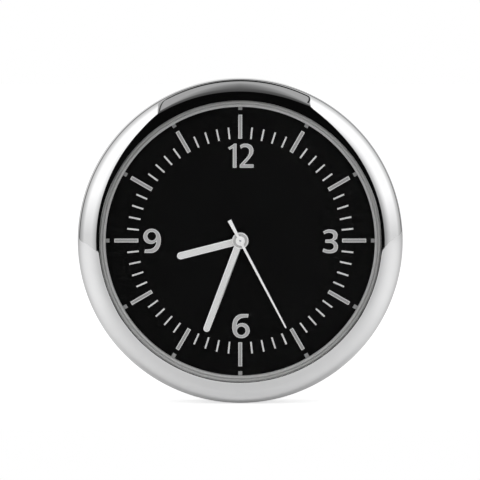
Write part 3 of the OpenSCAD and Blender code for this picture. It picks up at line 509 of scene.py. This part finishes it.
def track_tree():
    """Bars set round a circle. Each has a sloped rim in a second ink, which paints a highlight
    where it is paler; every n-th may be left out.
    """
    tree = bpy.data.node_groups.new("dial_track", "GeometryNodeTree")
    tree.interface.new_socket("Geometry", in_out="OUTPUT", socket_type="NodeSocketGeometry")
    for name, kind in (
        ("Count", "Int"), ("Leave Out Every", "Int"), ("Inner Radius", "Float"),
        ("Length", "Float"), ("Width", "Float"), ("Thickness", "Float"), ("Face", "Float"),
        ("Rim", "Float"), ("Ink", "Material"), ("Rim Ink", "Material"),
    ):
        tree.interface.new_socket(name, in_out="INPUT", socket_type=f"NodeSocket{kind}")
    given = add(tree, "NodeGroupInput").outputs
    size = add(tree, "ShaderNodeCombineXYZ", X=given["Width"], Y=given["Length"],
               Z=given["Thickness"])
    bar = add(tree, "GeometryNodeMeshCube", Size=size.outputs[0])
    normal = add(tree, "GeometryNodeInputNormal")
    up = add(tree, "ShaderNodeSeparateXYZ", Vector=normal.outputs[0])
    front = add(tree, "FunctionNodeCompare", {"operation": "GREATER_THAN"}, i0=up.outputs["Z"],
                i1=0.9)
    rimmed = add(tree, "GeometryNodeExtrudeMesh", {"mode": "FACES"}, Mesh=bar.outputs[0],
                 Selection=front.outputs[0], Offset_Scale=0.0)
    where = add(tree, "GeometryNodeInputPosition")
    side = add(tree, "ShaderNodeVectorMath", {"operation": "SIGN"}, i0=where.outputs[0])
    inward = add(tree, "ShaderNodeMath", {"operation": "MULTIPLY"}, i0=given["Rim"], i1=-1.0)
    both_ways = add(tree, "ShaderNodeCombineXYZ", X=inward.outputs[0], Y=inward.outputs[0], Z=0.0)
    shift = add(tree, "ShaderNodeVectorMath", {"operation": "MULTIPLY"}, i0=side.outputs[0],
                i1=both_ways.outputs[0])
    drawn_in = add(tree, "GeometryNodeSetPosition", Geometry=rimmed.outputs["Mesh"],
                   Selection=rimmed.outputs["Top"], Offset=shift.outputs[0])
    inked = add(tree, "GeometryNodeSetMaterial", Geometry=drawn_in.outputs[0],
                Material=given["Rim Ink"])
    inked = add(tree, "GeometryNodeSetMaterial", Geometry=inked.outputs[0],
                Selection=rimmed.outputs["Top"], Material=given["Ink"])
    half_len = add(tree, "ShaderNodeMath", {"operation": "MULTIPLY_ADD"}, i0=given["Length"],
                   i1=0.5, i2=given["Inner Radius"])
    half_high = add(tree, "ShaderNodeMath", {"operation": "MULTIPLY_ADD"}, i0=given["Thickness"],
                    i1=0.5, i2=given["Face"])
    out = add(tree, "ShaderNodeCombineXYZ", X=0.0, Y=half_len.outputs[0], Z=half_high.outputs[0])
    placed = add(tree, "GeometryNodeTransform", Geometry=inked.outputs[0],
                 Translation=out.outputs[0])
    index = add(tree, "GeometryNodeInputIndex")
    step = add(tree, "ShaderNodeMath", {"operation": "DIVIDE"}, i0=-2 * math.pi, i1=given["Count"])
    angle = add(tree, "ShaderNodeMath", {"operation": "MULTIPLY"}, i0=index.outputs[0],
                i1=step.outputs[0])
    spin = add(tree, "ShaderNodeCombineXYZ", Z=angle.outputs[0])
    rest = add(tree, "ShaderNodeMath", {"operation": "MODULO"}, i0=index.outputs[0],
               i1=given["Leave Out Every"])
    kept = add(tree, "ShaderNodeMath", {"operation": "GREATER_THAN"}, i0=rest.outputs[0], i1=0.5)
    none_out = add(tree, "ShaderNodeMath", {"operation": "LESS_THAN"},
                   i0=given["Leave Out Every"], i1=0.5)
    drawn = add(tree, "ShaderNodeMath", {"operation": "MAXIMUM"}, i0=kept.outputs[0],
                i1=none_out.outputs[0])
    points = add(tree, "GeometryNodePoints", Count=given["Count"])
    bars = add(tree, "GeometryNodeInstanceOnPoints", Points=points.outputs[0],
               Selection=drawn.outputs[0], Instance=placed.outputs[0], Rotation=spin.outputs[0])
    real = add(tree, "GeometryNodeRealizeInstances", Geometry=bars.outputs[0])
    stood = add(tree, "GeometryNodeTransform", Geometry=real.outputs[0],
                Rotation=(math.pi / 2, 0, 0))
    add(tree, "NodeGroupOutput", Geometry=stood.outputs[0])
    return tree


DIAL_TRACK = track_tree()


def track(name, count, leave_out, inner, length, width, rim, ink, rim_ink):
    """The mesh of one ring of bars on the dial, in millimetres. Every leave_out-th bar is
    missing, or none at 0."""
    made = temporary(name, bpy.data.meshes.new(name))
    grown = made.modifiers.new("track", "NODES")
    grown.node_group = DIAL_TRACK
    ids = {item.name: item.identifier for item in DIAL_TRACK.interface.items_tree}
    for socket, value in {
        "Count": count, "Leave Out Every": leave_out, "Inner Radius": inner * MM,
        "Length": length * MM, "Width": width * MM, "Thickness": MARK_T * MM,
        "Face": DIAL_DEPTH * MM, "Rim": rim * MM, "Ink": ink, "Rim Ink": rim_ink,
    }.items():
        grown[ids[socket]] = value
    return settled(made)


def joined(name, *meshes):
    """One mesh of several, with their materials kept."""
    bm = bmesh.new()
    used = []
    for mesh in meshes:
        for m in mesh.materials:
            if m not in used:
                used.append(m)
        first = len(bm.faces)
        bm.from_mesh(mesh)
        bm.faces.ensure_lookup_table()
        for face in bm.faces[first:]:
            face.material_index = used.index(mesh.materials[face.material_index])
    whole = bpy.data.meshes.new(name)
    bm.to_mesh(whole)
    bm.free()
    for m in used:
        whole.materials.append(m)
    return whole


hours = track("hours", count=12, leave_out=0, inner=MARK_IN_R, length=2.94, width=0.46, rim=0.08,
              ink=ink_grey, rim_ink=ink_painted_highlight_rim)
stubs = track("stubs", count=12, leave_out=0, inner=RING_IN_R - STUB_REACH, length=0.72,
              width=0.48, rim=0.09, ink=ink_grey, rim_ink=ink_grey)
piece("hour_marks_printed", joined("hour_marks_printed", hours, stubs), "clock", "mark_grey",
      "hour_marks")
minutes = track("minutes", count=60, leave_out=5, inner=MARK_IN_R, length=1.43, width=0.19,
                rim=0.045, ink=ink_light, rim_ink=ink_light_painted_highlight_rim)
piece("minute_marks_printed", minutes, "clock", "mark_light", "minute_marks")


# Flat shapes: numerals and hands


CURVE_STEPS = 9
MITRE_LEAST = 0.35  # keeps a sharp corner from being moved too far


def contour(start, *steps):
    """A closed outline in millimetres. A step of two numbers is a straight line, and one of
    six is a curve with two handles and an end."""
    points = [Vector(start)]
    for step in steps:
        if len(step) == 2:
            points.append(Vector(step))
            continue
        a = points[-1]
        b, c, d = Vector(step[0:2]), Vector(step[2:4]), Vector(step[4:6])
        for k in range(1, CURVE_STEPS + 1):
            t = k / CURVE_STEPS
            points.append(a * (1 - t) ** 3 + b * 3 * t * (1 - t) ** 2 + c * 3 * t**2 * (1 - t)
                          + d * t**3)
    if (points[0] - points[-1]).length < 0.01:
        points.pop()
    return points


def turned(points, degrees, across=0.0, up=0.0):
    """Points turned clockwise about the origin and then moved."""
    a = math.radians(-degrees)
    return [Vector((p[0] * math.cos(a) - p[1] * math.sin(a) + across,
                    p[0] * math.sin(a) + p[1] * math.cos(a) + up)) for p in points]


def wound(loop, left):
    """The loop with its inside on the left hand, or on the right."""
    area = sum(a.x * b.y - b.x * a.y for a, b in zip(loop, loop[1:] + loop[:1]))
    return loop if (area > 0) == left else loop[::-1]


def drawn_in(loop, by):
    """The loop with every side moved to its left by that many millimetres."""
    moved = []
    for before, at, after in zip(loop[-1:] + loop[:-1], loop, loop[1:] + loop[:1]):
        one, two = (at - before).normalized(), (after - at).normalized()
        one, two = Vector((-one.y, one.x)), Vector((-two.y, two.x))
        moved.append(at + (one + two) * by / max(1 + one.dot(two), MITRE_LEAST))
    return moved


def plate(loops, low, high, rim, drop, *finishes):
    """A flat shape between two depths: an outer loop and any holes. Its front edge slopes
    over `rim` millimetres by `drop`. The finishes are those of the face and of the rim."""
    loops = [wound(loop, k == 0) for k, loop in enumerate(loops)]
    inner = [drawn_in(loop, rim) for loop in loops]
    bm = bmesh.new()

    def verts(sets, depth):
        return [[bm.verts.new((p.x * MM, -depth * MM, p.y * MM)) for p in loop] for loop in sets]

    back, edge, face = verts(loops, low), verts(loops, high - drop), verts(inner, high)
    for lower, upper in ((back, edge), (edge, face)):
        for one, two in zip(lower, upper):
            for i in range(len(one)):
                j = (i + 1) % len(one)
                bm.faces.new((one[i], one[j], two[j], two[i])).material_index = 1
    for sets, corners, index in ((loops, back, 1), (inner, face, 0)):
        flat = [v for loop in corners for v in loop]
        for triangle in tessellate_polygon([[p.to_3d() for p in loop] for loop in sets]):
            bm.faces.new([flat[i] for i in triangle]).material_index = index
    return to_mesh("plate", bm, *finishes, sharp=8)


# Outlines of the figures about their own middles. A six is a nine upside down.
NINE = contour(
    (-1.12, 0.55), (-1.12, 1.09, -0.64, 1.53, -0.04, 1.53), (0.65, 1.53, 1.12, 0.97, 1.12, 0.14),
    (1.12, -0.85, 0.66, -1.46, -0.05, -1.53), (-0.36, -1.54, -0.69, -1.53, -1.01, -1.53),
    (-0.89, -1.02), (-0.66, -1.03, -0.43, -1.02, -0.22, -0.98),
    (0.18, -0.9, 0.43, -0.59, 0.48, -0.16), (0.33, -0.33, 0.11, -0.42, -0.14, -0.42),
    (-0.7, -0.42, -1.12, -0.01, -1.12, 0.55))
NINE_HOLE = [Vector(p) for p in arc(-0.04, 0.566, 0.49, *CIRCLE)]
THREE = contour(
    (-0.93, 1.2), (-0.68, 1.41, -0.38, 1.5, -0.09, 1.5), (0.55, 1.5, 0.93, 1.21, 0.93, 0.73),
    (0.93, 0.39, 0.77, 0.15, 0.5, 0.06), (0.81, -0.06, 0.98, -0.33, 0.98, -0.72),
    (0.98, -1.26, 0.54, -1.52, -0.12, -1.52), (-0.48, -1.52, -0.8, -1.41, -1.01, -1.27),
    (-0.86, -0.81), (-0.64, -0.95, -0.39, -1.03, -0.16, -1.03),
    (0.2, -1.03, 0.39, -0.89, 0.39, -0.66), (0.39, -0.36, 0.18, -0.23, -0.21, -0.23),
    (-0.65, -0.23), (-0.65, 0.25), (-0.25, 0.25), (0.14, 0.25, 0.33, 0.39, 0.33, 0.66),
    (0.33, 0.88, 0.15, 1.01, -0.16, 1.01), (-0.38, 1.01, -0.57, 0.93, -0.74, 0.79))
ONE = contour(
    (-1.61, 1.0), (-1.33, 1.14, -1.02, 1.33, -0.84, 1.52), (-0.47, 1.52), (-0.47, -1.53),
    (-1.01, -1.53), (-1.01, 0.86), (-1.38, 0.65))
TWO = contour(
    (-0.12, 1.28), (0.09, 1.44, 0.33, 1.52, 0.58, 1.52), (1.22, 1.52, 1.61, 1.17, 1.61, 0.63),
    (1.61, 0.23, 1.41, -0.05, 1.06, -0.46), (0.55, -1.03), (1.62, -1.03), (1.62, -1.53),
    (-0.16, -1.53), (-0.16, -1.13), (0.53, -0.39), (0.85, -0.04, 1.01, 0.23, 1.01, 0.53),
    (1.01, 0.82, 0.84, 1.01, 0.5, 1.01), (0.31, 1.01, 0.15, 0.9, -0.01, 0.77))
# Each numeral's figures, its turn in degrees, and its place right of and above the middle.
NUMERALS = {
    "numeral_12": (((ONE,), (TWO,)), 0, 0.055, 10.449),
    "numeral_3": (((THREE,),), 0, 11.077, -0.086),
    "numeral_6": (((NINE, NINE_HOLE),), 180, 0.086, -10.535),
    "numeral_9": (((NINE, NINE_HOLE),), 0, -10.843, -0.031),
}
for name, (figures, degrees, across, up) in NUMERALS.items():
    printed = []
    for loops in figures:
        thin = [drawn_in(wound(turned(loop, degrees, across, up), k == 0), FIGURE_THIN)
                for k, loop in enumerate(loops)]
        printed.append(plate(thin, DIAL_DEPTH, MARK_TOP, INK_RIM, INK_DROP, ink_numeral, ink_painted_highlight_rim))
    piece(name, joined(name, *printed), "clock", "mark_grey")


def hand(name, body, replaced, depth, angle, length, at_hub, at_tip, hub, bore, rim, face,
         tail=None, dish=None):
    """A stamped baton hand with a round hub, and its widths at the hub and at the tip. A tail
    is its length and its width at the end. A dish is the radius of the round hollow pressed
    in the hub."""
    tip = at_tip / 2
    side = math.degrees(math.acos(at_hub / 2 / hub))
    outline = arc(0, length - tip, tip, 0, 180, 16)
    if tail:
        outline += arc(0, 0, hub, 180 - side, 180 + side, 24)
        outline += [(-tail[1] / 2, -tail[0]), (tail[1] / 2, -tail[0])]
        outline += arc(0, 0, hub, -side, side, 24)
    else:
        outline += arc(0, 0, hub, 180 - side, 360 + side, 48)
    loops = [turned(loop, angle) for loop in (outline, arc(0, 0, dish or bore, *CIRCLE))]
    # The rim's brighter finish is a painted highlight along the stamped edge.
    meshes = [plate(loops, depth, depth + HAND_T, rim, rim / 2, face, hand_painted_highlight_edge)]
    # The hollow is drawn in a darker finish, as painted shade.
    if dish:
        rim_r, floor = dish + DISH_LAP, depth + HAND_T / 3
        hollow = [(bore, depth), (rim_r, depth), (rim_r, depth + HAND_T / 2),
                  (dish - DISH_WALL, floor), (bore, floor)]
        meshes.append(to_mesh("dish", lathe(hollow, 36), hand_painted_shade_dish))
    piece(name, joined(name, *meshes), body, "hand_silver", replaced)


hand("hour_hand_stamped", "hour_train", "hour_hand", HOUR_DEPTH, HOUR_AT, length=8,
     at_hub=0.87, at_tip=0.87, hub=HUB_R, bore=0.75, rim=0.09, face=hand_silver)
hand("minute_hand_stamped", "minute_train", "minute_hand", MINUTE_DEPTH, MINUTE_AT, length=11.95,
     at_hub=0.94, at_tip=0.8, hub=HUB_R, bore=0.45, rim=0.09, face=hand_silver, dish=0.88)
hand("second_hand_stamped", "second_train", "second_hand", SECOND_DEPTH, SECOND_AT, length=12.1,
     at_hub=0.31, at_tip=0.18, hub=SECOND_HUB_R, bore=0.14, rim=0.06, face=hand_white,
     tail=(2.86, 0.5))


# Studio


def card(name, corners, made, camera=False, diffuse=False):
    """A flat stage panel through its corners. It is seen in reflections and, where that is
    set, by the camera and in soft light."""
    mesh = bpy.data.meshes.new(name)
    mesh.from_pydata(corners, [], [range(len(corners))])
    mesh.materials.append(made)
    panel = temporary(name, mesh)
    panel.visible_camera = camera
    panel.visible_diffuse = diffuse
    panel.visible_shadow = False


def glow(name, code):
    """A stage material that only gives off light of that colour. Returns it, its tree and
    its light."""
    made = bpy.data.materials.new(name)
    made.use_nodes = True
    tree = made.node_tree
    tree.nodes.clear()
    light = add(tree, "ShaderNodeEmission", Color=colour(code))
    add(tree, "ShaderNodeOutputMaterial", Surface=light.outputs[0])
    return made, tree, light


def set_stops(ramp, levels):
    """Gives a colour ramp its grey stops, from pairs of a place and a level."""
    stops = ramp.color_ramp.elements
    stops.remove(stops[1])
    for k, (place, level) in enumerate(levels):
        stop = stops.new(place) if k else stops[0]
        stop.position = place
        stop.color = (level, level, level, 1)


# Floor: a pale sheet that ends in front of the clock, with a notch in its front edge so
# that the dial doesn't mirror it.
FLOOR_GAP = 0.00005
FLOOR_Z = -CASE_R * MM - FLOOR_GAP
FLOOR_EDGE = (
    (-0.166, -0.172), (-0.12, -0.25), (-0.03, -0.25), (-0.03, -0.06), (0.03, -0.06),
    (0.03, -0.25), (0.13, -0.25), (0.141, -0.215), (0.2, -0.213), (0.414, -0.203),
    (0.8, -0.075), (1.5, 0.2), (1.5, 1.5), (-0.41, 1.5), (-0.41, 0.2), (-0.395, 0.06),
    (-0.325, -0.067), (-0.225, -0.132),
)
# Light that the sheet gives off. WHITE_LIFT brings it up to white for the camera. The rest
# is what the mirror finish sees: MIRROR_LIFT everywhere; a strip at each side, which comes
# up from STRIP_START to STRIP_FULL metres off the middle, is STRIP_LIFT bright, fades at a
# slope of STRIP_SLOPE and has STRIP_LEVEL of that taken away beside it; and under the
# clock, as far as UNDER_REACH, what its ramp says above UNDER_LEVEL.
WHITE_LIFT = 0.65
MIRROR_LIFT = 0.17
STRIP_LIFT = 0.36
STRIP_START, STRIP_FULL = 0.008, 0.05
STRIP_LEVEL = 0.35
STRIP_SLOPE = 1.5
UNDER_REACH = 0.029
UNDER_LEVEL = 0.12
# The circle of the bezel that mirrors the sheet, in millimetres.
GLINT_R = 0.92 * CASE_R
GLINT_DEPTH = WIDEST + 2
# Levels under the clock: a place of 0 is a slope of -1 from that circle, to the front, and
# a place of 1 is a slope of 1, to the back.
UNDER_BY_SLOPE = (
    (0.0, 0.16), (0.1, 0.19), (0.3, 0.24), (0.45, 0.29), (0.54, 0.3), (0.65, 0.21), (0.75, 0.05),
    (0.85, 0.0),
)


def pale_sheet(name):
    """Matt white sheet. It stays white where nothing shades it, and keeps the clock's
    shadow. In the mirror finish it is brightest straight below each side of the bezel."""
    made, tree, shader = material(name, "#dadada", rough=0.9, Specular_IOR_Level=0.1)
    ray = add(tree, "ShaderNodeLightPath").outputs
    seen = add(tree, "ShaderNodeMath", {"operation": "MAXIMUM"}, i0=ray["Is Camera Ray"],
               i1=ray["Is Transmission Ray"])
    place = add(tree, "ShaderNodeTexCoord").outputs["Object"]
    place = add(tree, "ShaderNodeSeparateXYZ", Vector=place).outputs
    out = add(tree, "ShaderNodeMath", {"operation": "ABSOLUTE"}, i0=place["X"])
    # how far a point of the sheet lies from the mirroring circle in front view, and how far
    # behind the circle it lies for that
    reach = add(tree, "ShaderNodeCombineXYZ", X=place["X"], Y=CASE_R * MM)
    reach = add(tree, "ShaderNodeVectorMath", {"operation": "LENGTH"}, i0=reach.outputs[0])
    reach = add(tree, "ShaderNodeMath", {"operation": "SUBTRACT"}, i0=reach.outputs["Value"],
                i1=GLINT_R * MM)
    slope = add(tree, "ShaderNodeMath", {"operation": "ADD"}, i0=place["Y"],
                i1=GLINT_DEPTH * MM)
    slope = add(tree, "ShaderNodeMath", {"operation": "DIVIDE"}, i0=slope.outputs[0],
                i1=reach.outputs[0])
    steep = add(tree, "ShaderNodeMath", {"operation": "ABSOLUTE"}, i0=slope.outputs[0])
    strip = add(tree, "ShaderNodeMapRange", {"interpolation_type": "SMOOTHSTEP"},
                Value=steep.outputs[0], i1=0.0, i2=STRIP_SLOPE, i3=1.0, i4=0.0)
    side = add(tree, "ShaderNodeMapRange", {"interpolation_type": "SMOOTHSTEP"},
               Value=out.outputs[0], i1=STRIP_START, i2=STRIP_FULL, i3=0.0, i4=STRIP_LIFT)
    strip = add(tree, "ShaderNodeMath", {"operation": "MULTIPLY_ADD"}, i0=strip.outputs[0],
                i1=side.outputs[0], i2=MIRROR_LIFT)
    edge = add(tree, "ShaderNodeMath", {"operation": "MULTIPLY_ADD"}, i0=side.outputs[0],
               i1=-STRIP_LEVEL, i2=strip.outputs[0])
    # right under the clock it makes up for the clock's own shade, up to a dark line at the rim
    under = add(tree, "ShaderNodeMapRange", Value=slope.outputs[0], i1=-1.0, i2=1.0)
    under = add(tree, "ShaderNodeValToRGB", Fac=under.outputs[0])
    set_stops(under, UNDER_BY_SLOPE)
    under = add(tree, "ShaderNodeMath", {"operation": "SUBTRACT"}, i0=under.outputs[0],
                i1=UNDER_LEVEL)
    near = add(tree, "ShaderNodeMapRange", Value=out.outputs[0], i1=0.0, i2=UNDER_REACH, i3=1.0,
               i4=0.0)
    edge = add(tree, "ShaderNodeMath", {"operation": "MULTIPLY_ADD"}, i0=under.outputs[0],
               i1=near.outputs[0], i2=edge.outputs[0])
    lift = add(tree, "ShaderNodeMath", {"operation": "MULTIPLY"}, i0=ray["Is Glossy Ray"],
               i1=edge.outputs[0])
    lift = add(tree, "ShaderNodeMath", {"operation": "MULTIPLY_ADD"}, i0=seen.outputs[0],
               i1=WHITE_LIFT, i2=lift.outputs[0])
    light = add(tree, "ShaderNodeEmission", Color=colour("#ffffff"), Strength=lift.outputs[0])
    total = add(tree, "ShaderNodeAddShader", i0=shader.outputs[0], i1=light.outputs[0])
    tree.links.new(total.outputs[0], tree.nodes["Material Output"].inputs["Surface"])
    return made


card("floor", [(x, y, FLOOR_Z) for x, y in FLOOR_EDGE], pale_sheet("sheet_matt_white"),
     camera=True, diffuse=True)

# The dark room round the camera, seen in the front of the bezel.
ROOM_Y = -0.9
ROOM_EDGE = (
    (-0.76, -0.8), (0.85, -0.8), (0.84, -0.04), (0.815, 0.02), (0.805, 0.07), (0.785, 0.155),
    (0.775, 0.24), (0.787, 0.45), (0.802, 0.545), (0.81, 0.65), (0.82, 0.757), (0.855, 0.91),
    (0.925, 1.145), (1.0, 1.42), (1.235, 2.09), (1.65, 3.0), (-1.85, 2.7), (-1.38, 1.68),
    (-1.18, 1.27), (-1.07, 0.985), (-1.0, 0.79), (-0.955, 0.65), (-0.91, 0.52), (-0.875, 0.42),
    (-0.828, 0.26), (-0.8, 0.12), (-0.79, 0.02),
)
dark, *_ = glow("room_dark", "#0a0a0a")
card("room", [(x, ROOM_Y, z) for x, z in ROOM_EDGE], dark)

# A grey panel overhead, in a dark frame that shows along its back and at both ends.
PANEL_Z = 0.5
FRAME_DROP = 0.001
PANEL_EDGE = (
    (-0.34, -0.188), (-0.3, -0.198), (-0.254, -0.206), (-0.21, -0.213), (-0.169, -0.219),
    (-0.129, -0.227), (-0.07, -0.234), (0, -0.237), (0.07, -0.236), (0.129, -0.23),
    (0.169, -0.218), (0.21, -0.204), (0.25, -0.18), (0.274, -0.15), (0.264, 0.0),
    (0.258, 0.17), (0.256, 0.42), (0, 0.4), (-0.314, 0.47), (-0.321, 0.165), (-0.331, -0.024),
)
FRAME_EDGE = (
    (-0.33, -0.1), (-0.317, 0.055), (-0.306, 0.19), (-0.29, 0.37), (-0.275, 0.45), (0, 0.5),
    (0.25, 0.46), (0.258, 0.28), (0.26, 0.1), (0.258, -0.06), (0.251, -0.06), (0.253, 0.1),
    (0.25, 0.28), (0.243, 0.32), (0, 0.315), (-0.266, 0.325), (-0.283, 0.355), (-0.298, 0.19),
    (-0.309, 0.055), (-0.322, -0.1),
)
# Its light is multiplied by PANEL_GROWTH for each metre to the back and, past its front
# strip, to the sides. It levels off at PANEL_MOST.
PANEL_STRIP = (-0.13, -0.09)
PANEL_LIGHT = 0.2
PANEL_GROWTH = 66.7
PANEL_MOST = 0.47
overhead, tree, light = glow("panel_overhead", "#ffffff")
place = add(tree, "ShaderNodeTexCoord").outputs["Object"]
place = add(tree, "ShaderNodeSeparateXYZ", Vector=place).outputs
out = add(tree, "ShaderNodeMath", {"operation": "ABSOLUTE"}, i0=place["X"])
past = add(tree, "ShaderNodeMapRange", Value=place["Y"], i1=PANEL_STRIP[0], i2=PANEL_STRIP[1])
far = add(tree, "ShaderNodeMath", {"operation": "MULTIPLY_ADD"}, i0=out.outputs[0],
          i1=past.outputs[0], i2=place["Y"])
rise = add(tree, "ShaderNodeMath", {"operation": "POWER"}, i0=PANEL_GROWTH, i1=far.outputs[0])
level = add(tree, "ShaderNodeMath", {"operation": "MULTIPLY"}, i0=rise.outputs[0], i1=PANEL_LIGHT)
level = add(tree, "ShaderNodeMath", {"operation": "MINIMUM"}, i0=level.outputs[0], i1=PANEL_MOST)
tree.links.new(level.outputs[0], light.inputs["Strength"])
card("panel_overhead", [(x, y, PANEL_Z) for x, y in PANEL_EDGE], overhead)
card("panel_frame", [(x, y, PANEL_Z - FRAME_DROP) for x, y in FRAME_EDGE], dark)

# World: white to the camera, an even soft light to matt surfaces, and to mirrors a studio
# with bright walls at both sides. They fall off to the front, to the back, where they have
# a narrow dark gap, and towards the floor, and they stand a little askew. Heights here are
# those of a direction of length 1.
AMBIENT = 0.6
WALL = 1.3
WALL_SKEW = -0.08
WALL_FOOT, WALL_FOOT_TOP = 0.65, 0.26
# Levels of the walls: a place of 0 is straight to the front, and 1 straight to the back.
WALL_BY_DEPTH = (
    (0.0, 0.15), (0.1, 0.42), (0.12, 0.47), (0.15, 0.55), (0.18, 0.68), (0.21, 0.8),
    (0.24, 0.88), (0.30, 1.0), (0.63, 1.0), (0.70, 0.82), (0.77, 0.66), (0.83, 0.57),
    (0.868, 0.47), (0.878, 0.12), (0.915, 0.12), (0.925, 0.66), (1.0, 0.75),
)
world = bpy.data.worlds.new("studio")
bpy.context.scene.world = world
world.use_nodes = True
tree = world.node_tree
tree.nodes.clear()
ray = add(tree, "ShaderNodeLightPath").outputs
way = add(tree, "ShaderNodeTexCoord").outputs["Generated"]
way = add(tree, "ShaderNodeSeparateXYZ", Vector=way).outputs
skew = add(tree, "ShaderNodeMath", {"operation": "MULTIPLY_ADD"}, i0=way["X"], i1=WALL_SKEW,
           i2=way["Y"])
back = add(tree, "ShaderNodeMapRange", Value=skew.outputs[0], i1=-1.0, i2=1.0)
fall = add(tree, "ShaderNodeValToRGB", Fac=back.outputs[0])
set_stops(fall, WALL_BY_DEPTH)
height = add(tree, "ShaderNodeMapRange", Value=way["Z"], i1=0.0, i2=WALL_FOOT_TOP, i3=WALL_FOOT,
             i4=1.0)
wall = add(tree, "ShaderNodeMath", {"operation": "MULTIPLY"}, i0=fall.outputs[0],
           i1=height.outputs[0])
wall = add(tree, "ShaderNodeMath", {"operation": "MULTIPLY"}, i0=wall.outputs[0], i1=WALL)
seen = add(tree, "ShaderNodeMath", {"operation": "MAXIMUM"}, i0=ray["Is Camera Ray"],
           i1=ray["Is Transmission Ray"])
level = add(tree, "ShaderNodeMix", {"data_type": "FLOAT"}, i0=ray["Is Glossy Ray"], i2=AMBIENT,
            i3=wall.outputs[0])
level = add(tree, "ShaderNodeMix", {"data_type": "FLOAT"}, i0=seen.outputs[0],
            i2=level.outputs[0], i3=1.0)
sky = add(tree, "ShaderNodeBackground", Color=colour("#ffffff"), Strength=level.outputs[0])
add(tree, "ShaderNodeOutputWorld", Surface=sky.outputs[0])

# Soft square lamps that point at the clock, and aren't seen in its mirror finish.
LAMPS = {
    "key": ((-0.16, -0.75, 0.2), 0.3, 2.0),
    "fill": ((0.2, -0.72, -0.02), 0.3, 1.2),
    "top": ((0, -0.1, 0.7), 0.4, 1.0),
}
LIT = Vector((0, -0.006, 0))
for name, (spot, size, watts) in LAMPS.items():
    lamp = bpy.data.lights.new(name, "AREA")
    lamp.size = size
    lamp.energy = watts
    holder = bpy.data.objects.new(name, lamp)
    bpy.context.scene.collection.objects.link(holder)
    holder.location = spot
    holder.rotation_euler = (LIT - Vector(spot)).to_track_quat("-Z", "Y").to_euler()
    holder.visible_glossy = False
    holder.visible_camera = False

# Camera: a long lens, a little above the clock.
CAMERA_AT = 1.2
CAMERA_UP = math.radians(2.4)
SEEN_WIDTH = 59.04 * MM
SENSOR = 36
target = Vector((-0.03 * MM, -WIDEST * MM, 0.055 * MM))
lens = bpy.data.cameras.new("camera")
lens.sensor_width = SENSOR
lens.lens = SENSOR * CAMERA_AT / SEEN_WIDTH
lens.clip_start, lens.clip_end = 0.01, 10
camera = bpy.data.objects.new("camera", lens)
bpy.context.scene.collection.objects.link(camera)
camera.location = target + Vector((0, -math.cos(CAMERA_UP), math.sin(CAMERA_UP))) * CAMERA_AT
camera.rotation_euler = (target - camera.location).to_track_quat("-Z", "Y").to_euler()
bpy.context.scene.camera = camera
bpy.context.scene.view_settings.view_transform = "Standard"
